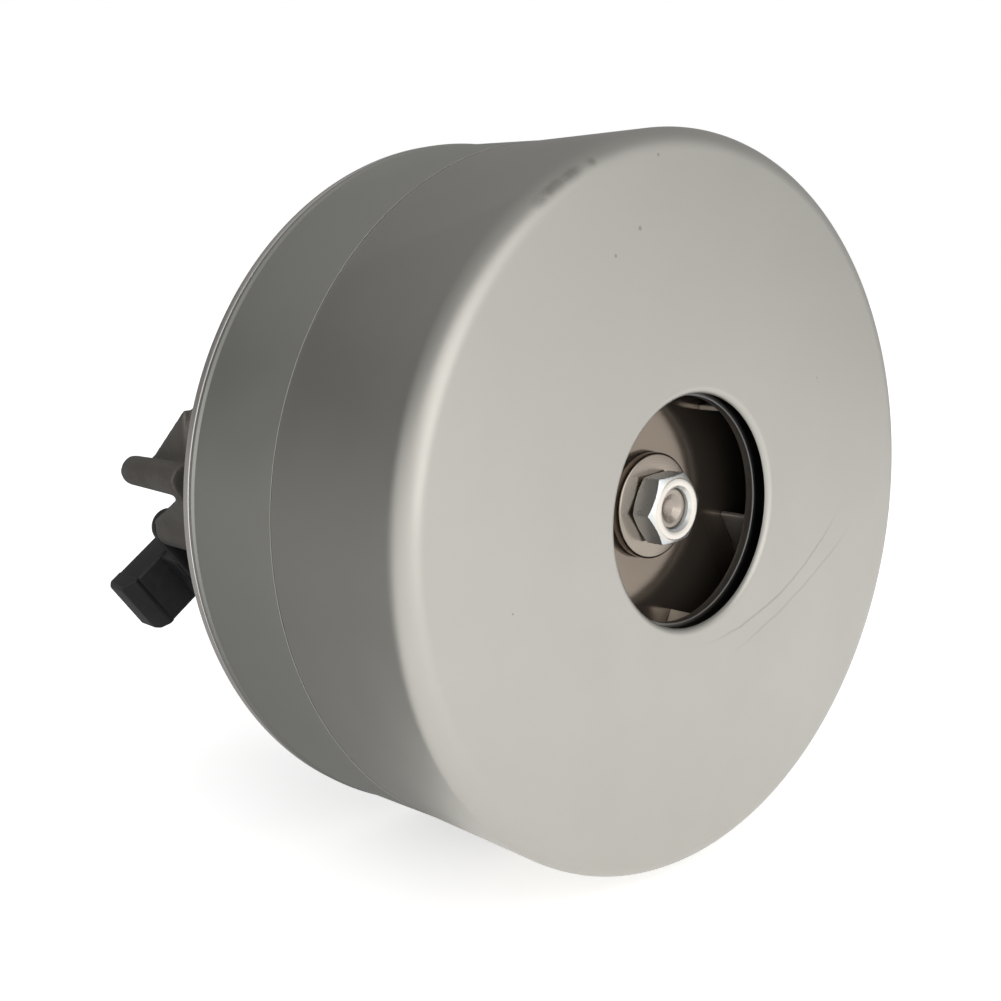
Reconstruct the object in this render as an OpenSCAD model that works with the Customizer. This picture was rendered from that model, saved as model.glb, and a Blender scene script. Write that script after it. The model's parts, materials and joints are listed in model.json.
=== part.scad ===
// Two-stage vacuum motor unit, in mm.
// It is modelled along +Z, which is the depth behind the front face, and turned so that the front faces -Y.
// The origin is the centre of the air inlet, on the plane of the front face.

/* [Fan case] */
// Outer diameter of the front shell
case_d = 143; // [139:0.5:160]
// Thickness of the shell sheet
sheet = 1; // [0.8:0.1:1.3]
// Outer radius of the front corner
corner_r = 4.5; // [2.5:0.5:7]
// Diameter of the air inlet
inlet_d = 45.2; // [42:0.2:50]
// Outer bend radius of the rolled inlet lip
lip_r = 1.5; // [1.4:0.1:1.7]
// Depth of the rolled inlet lip
lip_depth = 2.1; // [2:0.1:2.6]
// Depth of the front edge of the rear shell
step_depth = 37; // [34:0.5:40]
// Length of the lap between the two shells
lap = 8; // [6:0.5:10]
// Depth of the rear edge of the rear shell
shell_depth = 63; // [61:0.5:66]
// Width of the turned-out edge of the rear shell
edge_w = 1.2; // [0.9:0.1:2]
// Thickness of the rear shell at its rolled-down front edge
thin_edge = 0.2; // [0.15:0.05:0.6]
// Height of the turned-out edge above the rear shell
edge_h = 0.4; // [0.2:0.1:0.8]

/* [Fan stages] */
// Radial gap between an impeller and the front shell
impeller_gap = 7.5; // [5:0.5:14]
// Step from the inlet's edge in to the impeller eye
eye_step = 0.6; // [0.2:0.1:3]
// Gap between the inlet lip and the impeller eye
eye_gap = 1.3; // [0.9:0.1:2]
// Height of the eye ring ahead of the shroud
eye_rise = 1; // [0.6:0.1:1.6]
// Rise of the shroud from its eye to its edge
shroud_rise = 1.6; // [0.8:0.1:2.4]
// Distance between the two stages
stage_pitch = 29.4; // [28.4:0.2:31]
// Thickness of the impeller plates
plate_t = 1.2; // [0.8:0.1:1.5]
// Depth of an impeller from its eye to its back plate
impeller_w = 9.2; // [8.2:0.2:10]
// Number of blades in each impeller
blades = 6; // [5:1:9]
// Thickness of the blades
blade_t = 1; // [0.8:0.1:1.4]
// Radius where the blades begin
blade_r = 24; // [23:0.5:26]
// Turn of a blade from its inner to its outer edge
blade_sweep = 40; // [32:1:46]
// Bend radius of a blade
blade_bend = 92; // [80:1:120]
// Direction of the first blade's inner edge
blade_turn = 10; // [0:1:59]
// Radial gap between a guide plate and the front shell
guide_edge = 4.5; // [3:0.5:8]
// Gap between an impeller and the guide plate behind it
guide_gap = 2.8; // [2:0.2:4]
// Number of vanes on each guide plate
vanes = 12; // [8:1:16]
// Radius where the vanes begin
vane_r = 30; // [28:0.5:36]
// Turn of a vane from its inner to its outer edge
vane_sweep = 50; // [40:1:56]
// Bend radius of a vane
vane_bend = 52; // [46:1:65]

/* [Shaft and bearings] */
// Diameter of the shaft through the armature and the front bearing
shaft_d = 12; // [11:0.5:13]
// Diameter of the shaft through the impellers
seat_d = 10; // [9:0.5:11]
// Thread diameter at the front of the shaft
thread_d = 8; // [6:1:8]
// Width of the nut across its flats
nut_af = 13; // [12:0.5:15]
// Height of the nut
nut_h = 5.6; // [4.5:0.1:6]
// Diameter of the impeller washers
washer_d = 21; // [18:0.5:24]
// Thickness of the impeller washers
washer_t = 2.2; // [1.5:0.1:2.6]
// Diameter of the impeller spacers
spacer_d = 16; // [14:0.5:17]
// Outer diameter of the front bearing
front_bearing_d = 32; // [31:0.5:34]
// Width of the front bearing
front_bearing_w = 10; // [9.6:0.1:11]
// Ball diameter of the front bearing
front_ball_d = 5.9; // [5.5:0.1:6]
// Distance of the front bearing's front face ahead of the bracket
bearing_inset = 5.5; // [4.5:0.5:6.5]
// Outer diameter of the rear bearing
rear_bearing_d = 22; // [21.5:0.5:24]
// Bore of the rear bearing
rear_bore_d = 8; // [7.6:0.1:8.2]
// Width of the rear bearing
rear_bearing_w = 7; // [6.6:0.1:7.6]
// Ball diameter of the rear bearing
rear_ball_d = 3.9; // [3.6:0.1:4]
// Number of balls in each bearing
balls = 7; // [6:1:7]

/* [Front bracket] */
// Height of the bracket's rim above the rear shell
rim_proud = 0.35; // [0.1:0.05:1.2]
// Thickness of the rim
rim_t = 2.4; // [2:0.1:3.5]
// Edge radius of the rim
rim_r = 0.8; // [0.4:0.1:0.9]
// Thickness of the bracket's web
web_t = 3.2; // [2.6:0.1:4]
// Wall of the bearing hub
hub_wall = 3.5; // [2.5:0.1:5]
// Length of the hub ahead of its bearing
hub_front = 4; // [3:0.5:5]
// Length of the hub behind its bearing
hub_back = 1.5; // [1.2:0.1:2.4]
// Number of air windows
windows = 6; // [4:1:8]
// Width of a spoke between two windows
spoke_w = 6; // [4:0.5:9]
// Diameter of the pillars that carry the stator
pillar_d = 7.6; // [6.6:0.1:7.8]
// Length of the pillars behind the bracket's front
pillar_l = 17; // [16:0.5:19]
// Width of a pillar's foot around it
foot_w = 2; // [1.4:0.1:2.6]

/* [Motor] */
// Radial depth of the space for a field coil
coil_depth = 7.2; // [6.6:0.1:9]
// Thickness of the stator's yoke
yoke_t = 7; // [6.8:0.1:7.4]
// Length of the stator core
stator_l = 28.5; // [26:0.5:29.5]
// Thickness of the pole shoes
shoe_t = 3.3; // [2.8:0.1:3.5]
// Width of a pole neck
neck_w = 27; // [22:0.5:29]
// Angle covered by a pole shoe
shoe_angle = 116; // [104:1:122]
// Overhang of the field windings beyond the core
overhang = 9; // [8.4:0.1:9.4]
// Wire diameter of the field windings
wire_d = 0.9; // [0.7:0.05:0.95]
// Diameter of the armature core
armature_d = 52; // [48:0.5:52]
// Number of armature slots and commutator bars
slots = 24; // [18:1:24]
// Width of an armature slot's mouth
slot_w = 2; // [1.6:0.1:2.4]
// Diameter of the commutator
commutator_d = 28; // [26:0.5:28]
// Height of the commutator bars
bar_h = 3.5; // [3:0.1:4.5]
// Gap between two commutator bars
bar_gap = 0.5; // [0.4:0.05:0.8]
// Length of the commutator ahead of the brush axis
commutator_front = 15; // [14:0.5:16]
// Length of the commutator behind the brush axis
commutator_back = 8; // [7:0.5:10]
// Diameter of the long screws
tie_d = 4; // [3:0.5:4]

/* [Rear bracket] */
// Distance of the post circle outside the ring
post_out = 3.7; // [3.2:0.1:4.6]
// Diameter of a post at its end
post_d = 7; // [6.2:0.1:8]
// Length of a post behind the ring
post_l = 17.3; // [15:0.5:22]
// Core diameter of the tapped post holes
post_hole_d = 3.3; // [2.5:0.1:4.2]
// Depth of the tapped post holes
post_hole_depth = 12; // [8:0.5:14]
// Thickness of the bracket's ring behind the stator
ring_t = 3.2; // [2.8:0.1:4.2]
// Wall of the ring around the stator
ring_wall = 2.3; // [1.8:0.1:3.4]
// Length of the rim around the stator
ring_skirt = 5; // [3:0.5:8]
// Thickness of an arm
arm_t = 6.4; // [5:0.2:8]
// Depth of an arm across its run
arm_w = 6; // [5:0.1:7]
// Distance of an arm's elbow in from the ring's outside
elbow_in = 6.8; // [5.5:0.1:8]
// Distance of an arm's shoulder out from the hub
shoulder_out = 15.5; // [13:0.5:17]
// Wall of the rear bearing hub
rear_hub_wall = 4.5; // [3.5:0.1:6]
// Gap between the commutator and the rear hub
rear_gap = 1.6; // [1.2:0.1:3]
// Shoulder of the rear hub ahead of its bearing
rear_shoulder = 2.5; // [2:0.1:4]
// Length of the rear hub behind its bearing
rear_hub_back = 4; // [3:0.1:6]
// Wall of the rear bearing's cap
cap_wall = 1; // [0.8:0.1:1.4]
// Thickness of the gussets
gusset_t = 3.6; // [3:0.1:4]
// Spread of a gusset along the ring
gusset_w = 15.5; // [12:0.5:16.5]
// Distance of a gusset's end from its post's end
gusset_drop = 2.5; // [2:0.5:7]

/* [Brush gear] */
// Direction of the first brush around the axis
brush_angle = 142; // [139:0.5:145]
// Distance of the brush axis behind the stator
brush_back = 30.5; // [29.5:0.5:33]
// Width of a brush along the commutator's edge
brush_w = 10.4; // [9:0.1:10.6]
// Height of a brush along the shaft
brush_h = 6; // [5.4:0.1:6.2]
// Length of a brush
brush_l = 25.9; // [22:0.1:27]
// Width of a brush holder
holder_w = 15.4; // [14.6:0.1:16]
// Height of a brush holder
holder_h = 9.6; // [9.4:0.1:10.4]
// Length of the room for a brush spring
spring_l = 12.8; // [11.5:0.1:15]
// Length of the end cap's plug in the guide
plug_l = 1.6; // [1.2:0.1:2.4]
// Gap between the commutator and a brush holder
holder_gap = 7; // [6:0.5:8]
// Height of the brush holder's end cap
cap_t = 4; // [3.6:0.1:4.4]
// Chamfer of the front edge of the end cap
cap_chamfer = 3; // [1.5:0.1:3.4]
// Chamfer of the sides of the end cap
cap_corner = 1; // [0.5:0.1:2]
// Wall of the brass brush guide
guide_t = 0.5; // [0.4:0.05:0.6]
// Width of a terminal blade
blade_w = 4.8; // [3.6:0.1:5.2]
// Thickness of a terminal blade
tab_t = 0.8; // [0.6:0.1:1]
// Length of a terminal blade behind its holder
tab_l = 10; // [6:0.5:14]
// Thickness of a holder's ears
ear_t = 2; // [1.6:0.1:3]
// Width of a holder's foot and ears
ear_w = 8.6; // [7.6:0.1:9]
// Distance of a holder's screws from its sides
ear_out = 7.7; // [7.4:0.1:8.6]
// Height of the bosses behind the ring
boss_h = 13.3; // [12:0.1:15]
// Distance of the bosses in from the ring's outside
boss_in = 4; // [3:0.1:5]
// Diameter of the bosses
boss_d = 9; // [8.6:0.1:10]
// Thread diameter of the holder screws
ear_screw_d = 3; // [2.5:0.5:3.5]
// Thickness of the web from a boss to the nearest post
boss_web_t = 3; // [2.4:0.1:3.4]
// Length of a holder screw in its boss
ear_screw_l = 8; // [6:0.5:10]
// Wire diameter of the brush springs
spring_wire_d = 0.6; // [0.5:0.05:0.7]
// Outer diameter of the brush springs
spring_d = 5.2; // [4.4:0.1:5.4]
// Number of spring turns
spring_turns = 7; // [5:1:8]

/* [Fits] */
// Gap between parts that are pressed or seated together
seat_fit = 0.05; // [0.02:0.01:0.1]
// Gap between a brush and its guide or the commutator
brush_fit = 0.1; // [0.05:0.01:0.15]
// Gap between a ball and its races
ball_fit = 0.08; // [0.05:0.01:0.1]
// Radial gap between the armature and the poles
air_gap = 0.5; // [0.4:0.05:0.7]

/* [Hidden] */
$fn = 96;
cut = 1;
case_r = case_d / 2;
inlet_r = inlet_d / 2;
front_end = step_depth + lap;
rear_in_r = case_r + seat_fit;
rear_r = rear_in_r + sheet;
bracket_z = shell_depth;
rim_out = rear_r + rim_proud;
impeller_r = case_r - sheet - impeller_gap;
eye_r = inlet_r - eye_step;
eye_depth = lip_depth + eye_gap;
guide_r = case_r - sheet - guide_edge;
stage_back = eye_depth + impeller_w;
guide_z = stage_back + plate_t + guide_gap;
divider_z = stage_pitch - sheet * 0.4;
guide2_z = guide_z + stage_pitch;
nut_front = stage_back - washer_t - nut_h;
front_bearing_z = bracket_z - bearing_inset;
front_bearing_end = front_bearing_z + front_bearing_w;
hub_r = front_bearing_d / 2 + hub_wall;
hub_end = front_bearing_end + hub_back;
bore_r = armature_d / 2 + air_gap;
shoe_r = bore_r + shoe_t;
yoke_r = shoe_r + coil_depth;
stator_r = yoke_r + yoke_t;
tie_r = yoke_r + yoke_t / 2;
stator_z = bracket_z + pillar_l;
stator_end = stator_z + stator_l;
stator_mid = stator_z + stator_l / 2;
armature_z = stator_z + 0.5;
armature_end = stator_end - 0.5;
ring_end = stator_end + ring_t;
ring_r = stator_r + ring_wall;
post_r = ring_r + post_out;
post_end = ring_end + post_l;
gusset_end = post_end - gusset_drop;
ring_in = yoke_r + 0.2;
pole_angle = brush_angle - 90;
tie_angles = [pole_angle - 22.5, pole_angle + 22.5, pole_angle + 157.5, pole_angle + 202.5];
commutator_r = commutator_d / 2;
brush_z = stator_end + brush_back;
commutator_z = brush_z - commutator_front;
commutator_end = brush_z + commutator_back;
rear_hub_r = rear_bearing_d / 2 + rear_hub_wall;
rear_hub_z = commutator_end + rear_gap;
rear_bearing_z = rear_hub_z + rear_shoulder;
rear_bearing_end = rear_bearing_z + rear_bearing_w;
rear_hub_end = rear_bearing_end + rear_hub_back;
elbow_r = ring_r - elbow_in;
shoulder_r = rear_hub_r + shoulder_out;
brush_in = commutator_r + brush_fit;
brush_out = brush_in + brush_l;
holder_in = commutator_r + holder_gap;
plug_in = brush_out + spring_l;
cap_in = plug_in + plug_l;
holder_end = cap_in + cap_t;
guide_w = brush_w + 2 * brush_fit + 2 * guide_t;
guide_h = brush_h + 2 * brush_fit + 2 * guide_t;
ear_pitch = holder_w + 2 * ear_out;
boss_x = ring_r - boss_in;
boss_z = ring_end + boss_h;
tab_x = boss_x + 2;
coil_pitch = wire_d + 0.5;
coil_r = yoke_r - wire_d / 2 - 0.5;
coil_in = shoe_r + wire_d / 2 + 0.4;
coil_faces = floor((coil_r - coil_in) / coil_pitch);
coil_turns = coil_faces + 4;
coil_half = stator_l / 2 + overhang - wire_d / 2;
coil_angle = shoe_angle / 2 - 1;

// Shapes shared by the parts

module disc(r, z0, z1) translate([0, 0, z0]) cylinder(r = r, h = z1 - z0);

module ring(r1, r0, z0, z1) difference() {
    disc(r1, z0, z1);
    disc(r0, z0 - cut, z1 + cut);
}

module block(x0, x1, w, z0, z1) translate([x0, -w / 2, z0]) cube([x1 - x0, w, z1 - z0]);

module turned(points) rotate_extrude() polygon(points);

module in_place() rotate([-90, 0, 0]) children();

module at_brush(side) in_place() rotate([0, 0, brush_angle + 180 * side]) children();

module sector(r, a0, a1) polygon([
    [0, 0],
    [r * cos(a0), r * sin(a0)],
    [r * cos(a0 + (a1 - a0) / 3) * 1.3, r * sin(a0 + (a1 - a0) / 3) * 1.3],
    [r * cos(a0 + (a1 - a0) * 2 / 3) * 1.3, r * sin(a0 + (a1 - a0) * 2 / 3) * 1.3],
    [r * cos(a1), r * sin(a1)]
]);

// Centre of an arc of radius r from p to q
function arc_centre(p, q, r) =
    let (d = q - p, l = norm(d))
    (p + q) / 2 + [-d[1], d[0]] / l * sqrt(r * r - l * l / 4);

// A blade bent to an arc between two radii
module arc_blade(r1, r2, sweep, bend, t) {
    centre = arc_centre([r1, 0], [r2 * cos(sweep), r2 * sin(sweep)], bend);
    intersection() {
        translate(centre) difference() {
            circle(r = bend + t / 2);
            circle(r = bend - t / 2);
        }
        difference() {
            circle(r = r2);
            circle(r = r1);
        }
        sector(r2 * 1.6, -12, sweep + 12);
    }
}

function unit(v) = v / norm(v);

// Corners of a wire of width d along the points, with six sides; ups points away from the curve's axis
function wire_corners(points, ups, d) = [
    for (i = [0 : len(points) - 1])
        let (
            along = unit(points[min(i + 1, len(points) - 1)] - points[max(i - 1, 0)]),
            up = unit(ups[i] - along * (ups[i] * along)),
            side = cross(along, up)
        )
        for (k = [0 : 5]) points[i] + d / 2 * (cos(60 * k) * up + sin(60 * k) * side)
];

function wire_faces(n) = concat(
    [[for (k = [5 : -1 : 0]) k]],
    [for (i = [0 : n - 2]) for (k = [0 : 5]) [6 * i + k, 6 * i + (k + 1) % 6, 6 * i + 6 + k]],
    [for (i = [0 : n - 2]) for (k = [0 : 5])
        [6 * i + (k + 1) % 6, 6 * i + 6 + (k + 1) % 6, 6 * i + 6 + k]],
    [[for (k = [0 : 5]) 6 * (n - 1) + k]]
);

module wire(points, ups, d) polyhedron(wire_corners(points, ups, d), wire_faces(len(points)));

// Least gap of a wire to itself, between points at least half a turn apart
function least_gap(points, d, apart) = min([
    for (i = [0 : len(points) - 1 - apart])
        for (j = [i + apart : len(points) - 1]) norm(points[i] - points[j])
]) - d;

// Fan case

module shell_area(r, corner, z0, z1) {
    translate([0, z0 + corner]) square([r, z1 - z0 - corner]);
    translate([0, z0]) square([r - corner, z1 - z0]);
    translate([r - corner, z0 + corner]) circle(r = corner);
}

// A lip rolled towards the rear, around a hole in a plate at depth z
module lip_area(r, z) {
    translate([0, z]) {
        intersection() {
            translate([r + lip_r, lip_r]) difference() {
                circle(r = lip_r);
                circle(r = lip_r - sheet);
            }
            translate([r, 0]) square(lip_r);
        }
        translate([r, lip_r]) square([sheet, lip_depth - lip_r]);
    }
}

module front_shell() color([0.75, 0.74, 0.71]) in_place() rotate_extrude() {
    difference() {
        shell_area(case_r, corner_r, 0, front_end);
        shell_area(case_r - sheet, corner_r - sheet, sheet, front_end + cut);
        translate([0, -cut]) square([inlet_r + lip_r, sheet + 2 * cut]);
    }
    lip_area(inlet_r, 0);
}

module rear_shell() color([0.7, 0.71, 0.68]) in_place() {
    turned([
        [rear_in_r, step_depth],
        [rear_in_r + thin_edge, step_depth],
        [rear_r, shell_depth - edge_w],
        [rear_r, shell_depth],
        [rear_in_r, shell_depth]
    ]);
    ring(rear_r + edge_h, rear_r - sheet / 2, shell_depth - edge_w, shell_depth);
}

module stage_divider() color([0.72, 0.72, 0.7]) in_place() rotate_extrude() {
    wall = case_r - sheet - seat_fit;
    translate([inlet_r + lip_r, divider_z]) square([wall - inlet_r - lip_r, sheet]);
    translate([wall - sheet, divider_z]) square([sheet, front_end + sheet - divider_z]);
    translate([wall - sheet, front_end]) square([case_r - wall + sheet, sheet]);
    lip_area(inlet_r, divider_z);
}

module guide_plate(z, back) {
    ring(guide_r, spacer_d / 2 + 1.6, z, z + sheet);
    for (i = [0 : vanes - 1])
        rotate([0, 0, i * 360 / vanes])
            translate([0, 0, z + sheet / 2])
                linear_extrude(back - z - sheet / 2)
                    arc_blade(vane_r, guide_r - 0.5, vane_sweep, vane_bend, sheet);
}

module first_guide() color([0.7, 0.7, 0.68]) in_place()
    guide_plate(guide_z, divider_z);

module second_guide() color([0.7, 0.7, 0.68]) in_place()
    guide_plate(guide2_z, bracket_z);

// Impellers, each drawn with its eye at depth z

function shroud_z(r) = eye_rise + (r - eye_r) / (impeller_r - eye_r) * shroud_rise;

module shroud(z) translate([0, 0, z]) turned([
    [eye_r, 0],
    [eye_r + plate_t, 0],
    [eye_r + plate_t, shroud_z(eye_r + plate_t)],
    [impeller_r, shroud_z(impeller_r)],
    [impeller_r, shroud_z(impeller_r) + plate_t],
    [eye_r, shroud_z(eye_r) + plate_t]
]);

module blade_set(z) intersection() {
    translate([0, 0, z])
        linear_extrude(impeller_w + cut)
            for (i = [0 : blades - 1])
                rotate([0, 0, i * 360 / blades + blade_turn])
                    arc_blade(blade_r, impeller_r - 1, blade_sweep, blade_bend, blade_t);
    translate([0, 0, z]) turned([
        [eye_r, impeller_w],
        [eye_r, shroud_z(eye_r) + plate_t],
        [impeller_r, shroud_z(impeller_r) + plate_t],
        [impeller_r, impeller_w]
    ]);
}

module impeller_plate(z) ring(impeller_r, seat_d / 2 + seat_fit, z + impeller_w, z + impeller_w + plate_t);

module impeller_1_shroud() color([0.78, 0.77, 0.74]) in_place() shroud(eye_depth);

module impeller_1_blades() color([0.76, 0.75, 0.72]) in_place() blade_set(eye_depth);

module impeller_1_plate() color([0.78, 0.77, 0.74]) in_place() impeller_plate(eye_depth);

module impeller_2_shroud() color([0.78, 0.77, 0.74]) in_place() shroud(eye_depth + stage_pitch);

module impeller_2_blades() color([0.76, 0.75, 0.72]) in_place() blade_set(eye_depth + stage_pitch);

module impeller_2_plate() color([0.78, 0.77, 0.74]) in_place() impeller_plate(eye_depth + stage_pitch);

// Shaft and the parts that clamp the impellers

module shaft() color([0.62, 0.63, 0.64]) in_place() turned([
    [0, nut_front + 1.4],
    [thread_d / 2 - 0.6, nut_front + 1.4],
    [thread_d / 2, nut_front + 2],
    [thread_d / 2, stage_back],
    [seat_d / 2, stage_back],
    [seat_d / 2, front_bearing_z],
    [shaft_d / 2, front_bearing_z],
    [shaft_d / 2, front_bearing_end],
    [shaft_d / 2 + 1.6, front_bearing_end],
    [shaft_d / 2 + 1.6, front_bearing_end + 2.5],
    [shaft_d / 2, front_bearing_end + 2.5],
    [shaft_d / 2, rear_hub_z + 1],
    [rear_bore_d / 2, rear_bearing_z],
    [rear_bore_d / 2, rear_bearing_end + 0.4],
    [rear_bore_d / 2 - 0.6, rear_bearing_end + 1],
    [0, rear_bearing_end + 1]
]);

module impeller_nut() color([0.72, 0.72, 0.7]) in_place() difference() {
    intersection() {
        translate([0, 0, nut_front]) cylinder(d = nut_af / cos(30), h = nut_h, $fn = 6);
        turned([
            [0, nut_front],
            [nut_af * 0.47, nut_front],
            [nut_af * 0.6, nut_front + nut_af * 0.065],
            [nut_af * 0.6, nut_front + nut_h],
            [0, nut_front + nut_h]
        ]);
    }
    disc(thread_d / 2 + seat_fit, nut_front - cut, nut_front + nut_h + cut);
}

module washer(z) ring(washer_d / 2, thread_d / 2 + seat_fit, z - washer_t, z);

module front_washer() color([0.66, 0.66, 0.64]) in_place() washer(stage_back);

module stage_washer() color([0.66, 0.66, 0.64]) in_place()
    ring(washer_d / 2, seat_d / 2 + seat_fit, stage_back + stage_pitch - washer_t, stage_back + stage_pitch);

module impeller_spacer() color([0.66, 0.66, 0.64]) in_place()
    ring(spacer_d / 2, seat_d / 2 + seat_fit, stage_back + plate_t, stage_back + stage_pitch - washer_t);

module rear_spacer() color([0.66, 0.66, 0.64]) in_place()
    ring(spacer_d / 2, seat_d / 2 + seat_fit, stage_back + stage_pitch + plate_t, front_bearing_z);

// Bearings, each drawn around the middle of its width

function pitch_r(outer, bore) = (outer + bore) / 4;

module race_groove(pitch, ball, mid) rotate_extrude() translate([pitch, mid]) circle(r = ball / 2 + ball_fit);

module outer_race(outer, bore, w, ball, z) difference() {
    union() {
        ring(outer / 2, pitch_r(outer, bore) + ball * 0.36, z, z + w);
        ring(outer / 2 - 1, pitch_r(outer, bore) - ball * 0.29, z + w * 0.02, z + w * 0.06);
        ring(outer / 2 - 1, pitch_r(outer, bore) - ball * 0.29, z + w * 0.94, z + w * 0.98);
    }
    race_groove(pitch_r(outer, bore), ball, z + w / 2);
}

module inner_race(outer, bore, w, ball, z) difference() {
    ring(pitch_r(outer, bore) - ball * 0.36, bore / 2 + seat_fit / 2, z, z + w);
    race_groove(pitch_r(outer, bore), ball, z + w / 2);
}

module ball_set(outer, bore, w, ball, z)
    for (i = [0 : balls - 1])
        rotate([0, 0, i * 360 / balls])
            translate([pitch_r(outer, bore), 0, z + w / 2]) sphere(d = ball);

module ball_cage(outer, bore, w, ball, z) {
    pocket = ball / 2 + ball_fit;
    half = pocket + 0.5;
    difference() {
        ring(pitch_r(outer, bore) + ball * 0.13, pitch_r(outer, bore) - ball * 0.13,
            z + w / 2 - half, z + w / 2 + half);
        for (i = [0 : balls - 1])
            rotate([0, 0, i * 360 / balls])
                block(0, outer, ball + 2 * ball_fit, z + w / 2 - pocket, z + w / 2 + pocket);
    }
}

module fan_bearing_outer() color([0.7, 0.7, 0.7]) in_place()
    outer_race(front_bearing_d - 2 * seat_fit, shaft_d, front_bearing_w, front_ball_d, front_bearing_z);

module fan_bearing_inner() color([0.7, 0.7, 0.7]) in_place()
    inner_race(front_bearing_d, shaft_d, front_bearing_w, front_ball_d, front_bearing_z);

module fan_bearing_balls() color([0.8, 0.8, 0.8]) in_place()
    ball_set(front_bearing_d, shaft_d, front_bearing_w, front_ball_d, front_bearing_z);

module fan_bearing_cage() color([0.75, 0.65, 0.4]) in_place()
    ball_cage(front_bearing_d, shaft_d, front_bearing_w, front_ball_d, front_bearing_z);

module rear_bearing_outer() color([0.7, 0.7, 0.7]) in_place()
    outer_race(rear_bearing_d - 2 * seat_fit, rear_bore_d, rear_bearing_w, rear_ball_d, rear_bearing_z);

module rear_bearing_inner() color([0.7, 0.7, 0.7]) in_place()
    inner_race(rear_bearing_d, rear_bore_d, rear_bearing_w, rear_ball_d, rear_bearing_z);

module rear_bearing_balls() color([0.8, 0.8, 0.8]) in_place()
    ball_set(rear_bearing_d, rear_bore_d, rear_bearing_w, rear_ball_d, rear_bearing_z);

module rear_bearing_cage() color([0.75, 0.65, 0.4]) in_place()
    ball_cage(rear_bearing_d, rear_bore_d, rear_bearing_w, rear_ball_d, rear_bearing_z);

// Front bracket

module rim_area() {
    translate([rim_out - 6, bracket_z]) square([6, rim_t - rim_r]);
    translate([rim_out - 6, bracket_z]) square([6 - rim_r, rim_t]);
    translate([rim_out - rim_r, bracket_z + rim_t - rim_r]) circle(r = rim_r);
}

module window_area() {
    outer = tie_r - pillar_d / 2 - foot_w - 0.6;
    difference() {
        circle(r = outer);
        circle(r = hub_r + 2);
        for (i = [0 : windows - 1])
            rotate(pole_angle + i * 360 / windows) translate([0, -spoke_w / 2]) square([outer + 1, spoke_w]);
    }
}

module fan_bracket() color([0.62, 0.62, 0.6]) in_place() difference() {
    union() {
        rotate_extrude() rim_area();
        translate([0, 0, bracket_z]) linear_extrude(web_t) difference() {
            circle(r = rim_out - 5);
            window_area();
        }
        ring(case_r - 0.1, case_r - 2.6, front_end + sheet + 4, bracket_z + 1);
        disc(hub_r, front_bearing_z - hub_front, hub_end);
        for (a = tie_angles)
            rotate([0, 0, a]) translate([tie_r, 0, bracket_z + 1]) {
                cylinder(d = pillar_d + 2 * foot_w, h = web_t + 1);
                cylinder(d = pillar_d, h = pillar_l - 1);
            }
    }
    disc(front_bearing_d / 2 - 4, front_bearing_z - hub_front - cut, hub_end + cut);
    disc(front_bearing_d / 2, front_bearing_z, hub_end + cut);
    for (a = tie_angles)
        rotate([0, 0, a]) translate([tie_r, 0, bracket_z + 4])
            cylinder(d = tie_d + 2 * seat_fit, h = pillar_l);
}

module bearing_retainer() color([0.5, 0.5, 0.5]) in_place()
    ring(front_bearing_d / 2 - seat_fit, front_bearing_d / 2 - 3.5, front_bearing_end, hub_end - 0.2);

// Motor

module stator_core() color([0.35, 0.35, 0.36]) in_place() rotate([0, 0, pole_angle])
    translate([0, 0, stator_z]) linear_extrude(stator_l) difference() {
        union() {
            difference() {
                circle(r = stator_r);
                circle(r = yoke_r);
            }
            intersection() {
                circle(r = yoke_r + 1);
                for (s = [0, 180]) rotate(s) translate([0, -neck_w / 2]) square([stator_r, neck_w]);
            }
            for (s = [0, 180])
                rotate(s) intersection() {
                    circle(r = shoe_r);
                    sector(stator_r, -shoe_angle / 2, shoe_angle / 2);
                }
        }
        circle(r = bore_r);
        for (a = tie_angles)
            rotate(a - pole_angle) translate([tie_r, 0]) circle(d = tie_d + 0.5);
    }

module coil_block(r, angle, half)
    translate([0, 0, stator_mid - half]) linear_extrude(2 * half) intersection() {
        circle(r = r);
        sector(stator_r, -angle, angle);
    }

// The wound core of a field coil, inside its outer layer of wire
module coil_core(side) in_place() rotate([0, 0, pole_angle + 180 * side]) {
    r1 = coil_r - wire_d / 2 - 0.5;
    r0 = shoe_r + 0.2;
    half = coil_half - wire_d / 2 - 0.3;
    inner = asin(neck_w / 2 / r0) + 2;
    difference() {
        union() {
            coil_block(r1, coil_angle * 0.83, half);
            coil_block(r1, coil_angle - 1.6, half * 0.8);
        }
        disc(r0, stator_mid - half - cut, stator_mid + half + cut);
        translate([0, 0, stator_z - 0.4])
            linear_extrude(stator_l + 0.8) sector(stator_r, -inner, inner);
    }
}

// One turn of a field coil: its place across the pole and along the shaft, each from -1 to 1
function turn_at(i) =
    i < 8 ? [-0.85 + 1.7 * i / 7, 1]
    : i == 8 ? [0.96, 0.94]
    : i == 9 ? [1, 0.82]
    : i == 10 ? [1, -0.82]
    : i == 11 ? [0.96, -0.94]
    : -turn_at(i - 12);

// Pitches gone through by point i; two turns at the coil's edge go faster, to keep their gap
function pitches_at(i) = i / 24 + 0.42 * min(2, max(0, i / 24 - coil_faces + 1.42));

function shrink_at(i) = max(0, pitches_at(i) - coil_faces) * coil_pitch;

function coil_angle_at(i) = turn_at(i % 24)[0] * (coil_angle - shrink_at(i) / coil_r * 180 / PI);

function coil_radius_at(i) = coil_in + (coil_r - coil_in) * min(1, pitches_at(i) / coil_faces);

function coil_z_at(i) = stator_mid + turn_at(i % 24)[1] * (coil_half - shrink_at(i));

coil_points = [
    for (i = [0 : 24 * coil_turns])
        let (a = coil_angle_at(i), r = coil_radius_at(i))
        [r * cos(a), r * sin(a), coil_z_at(i)]
];

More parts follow.
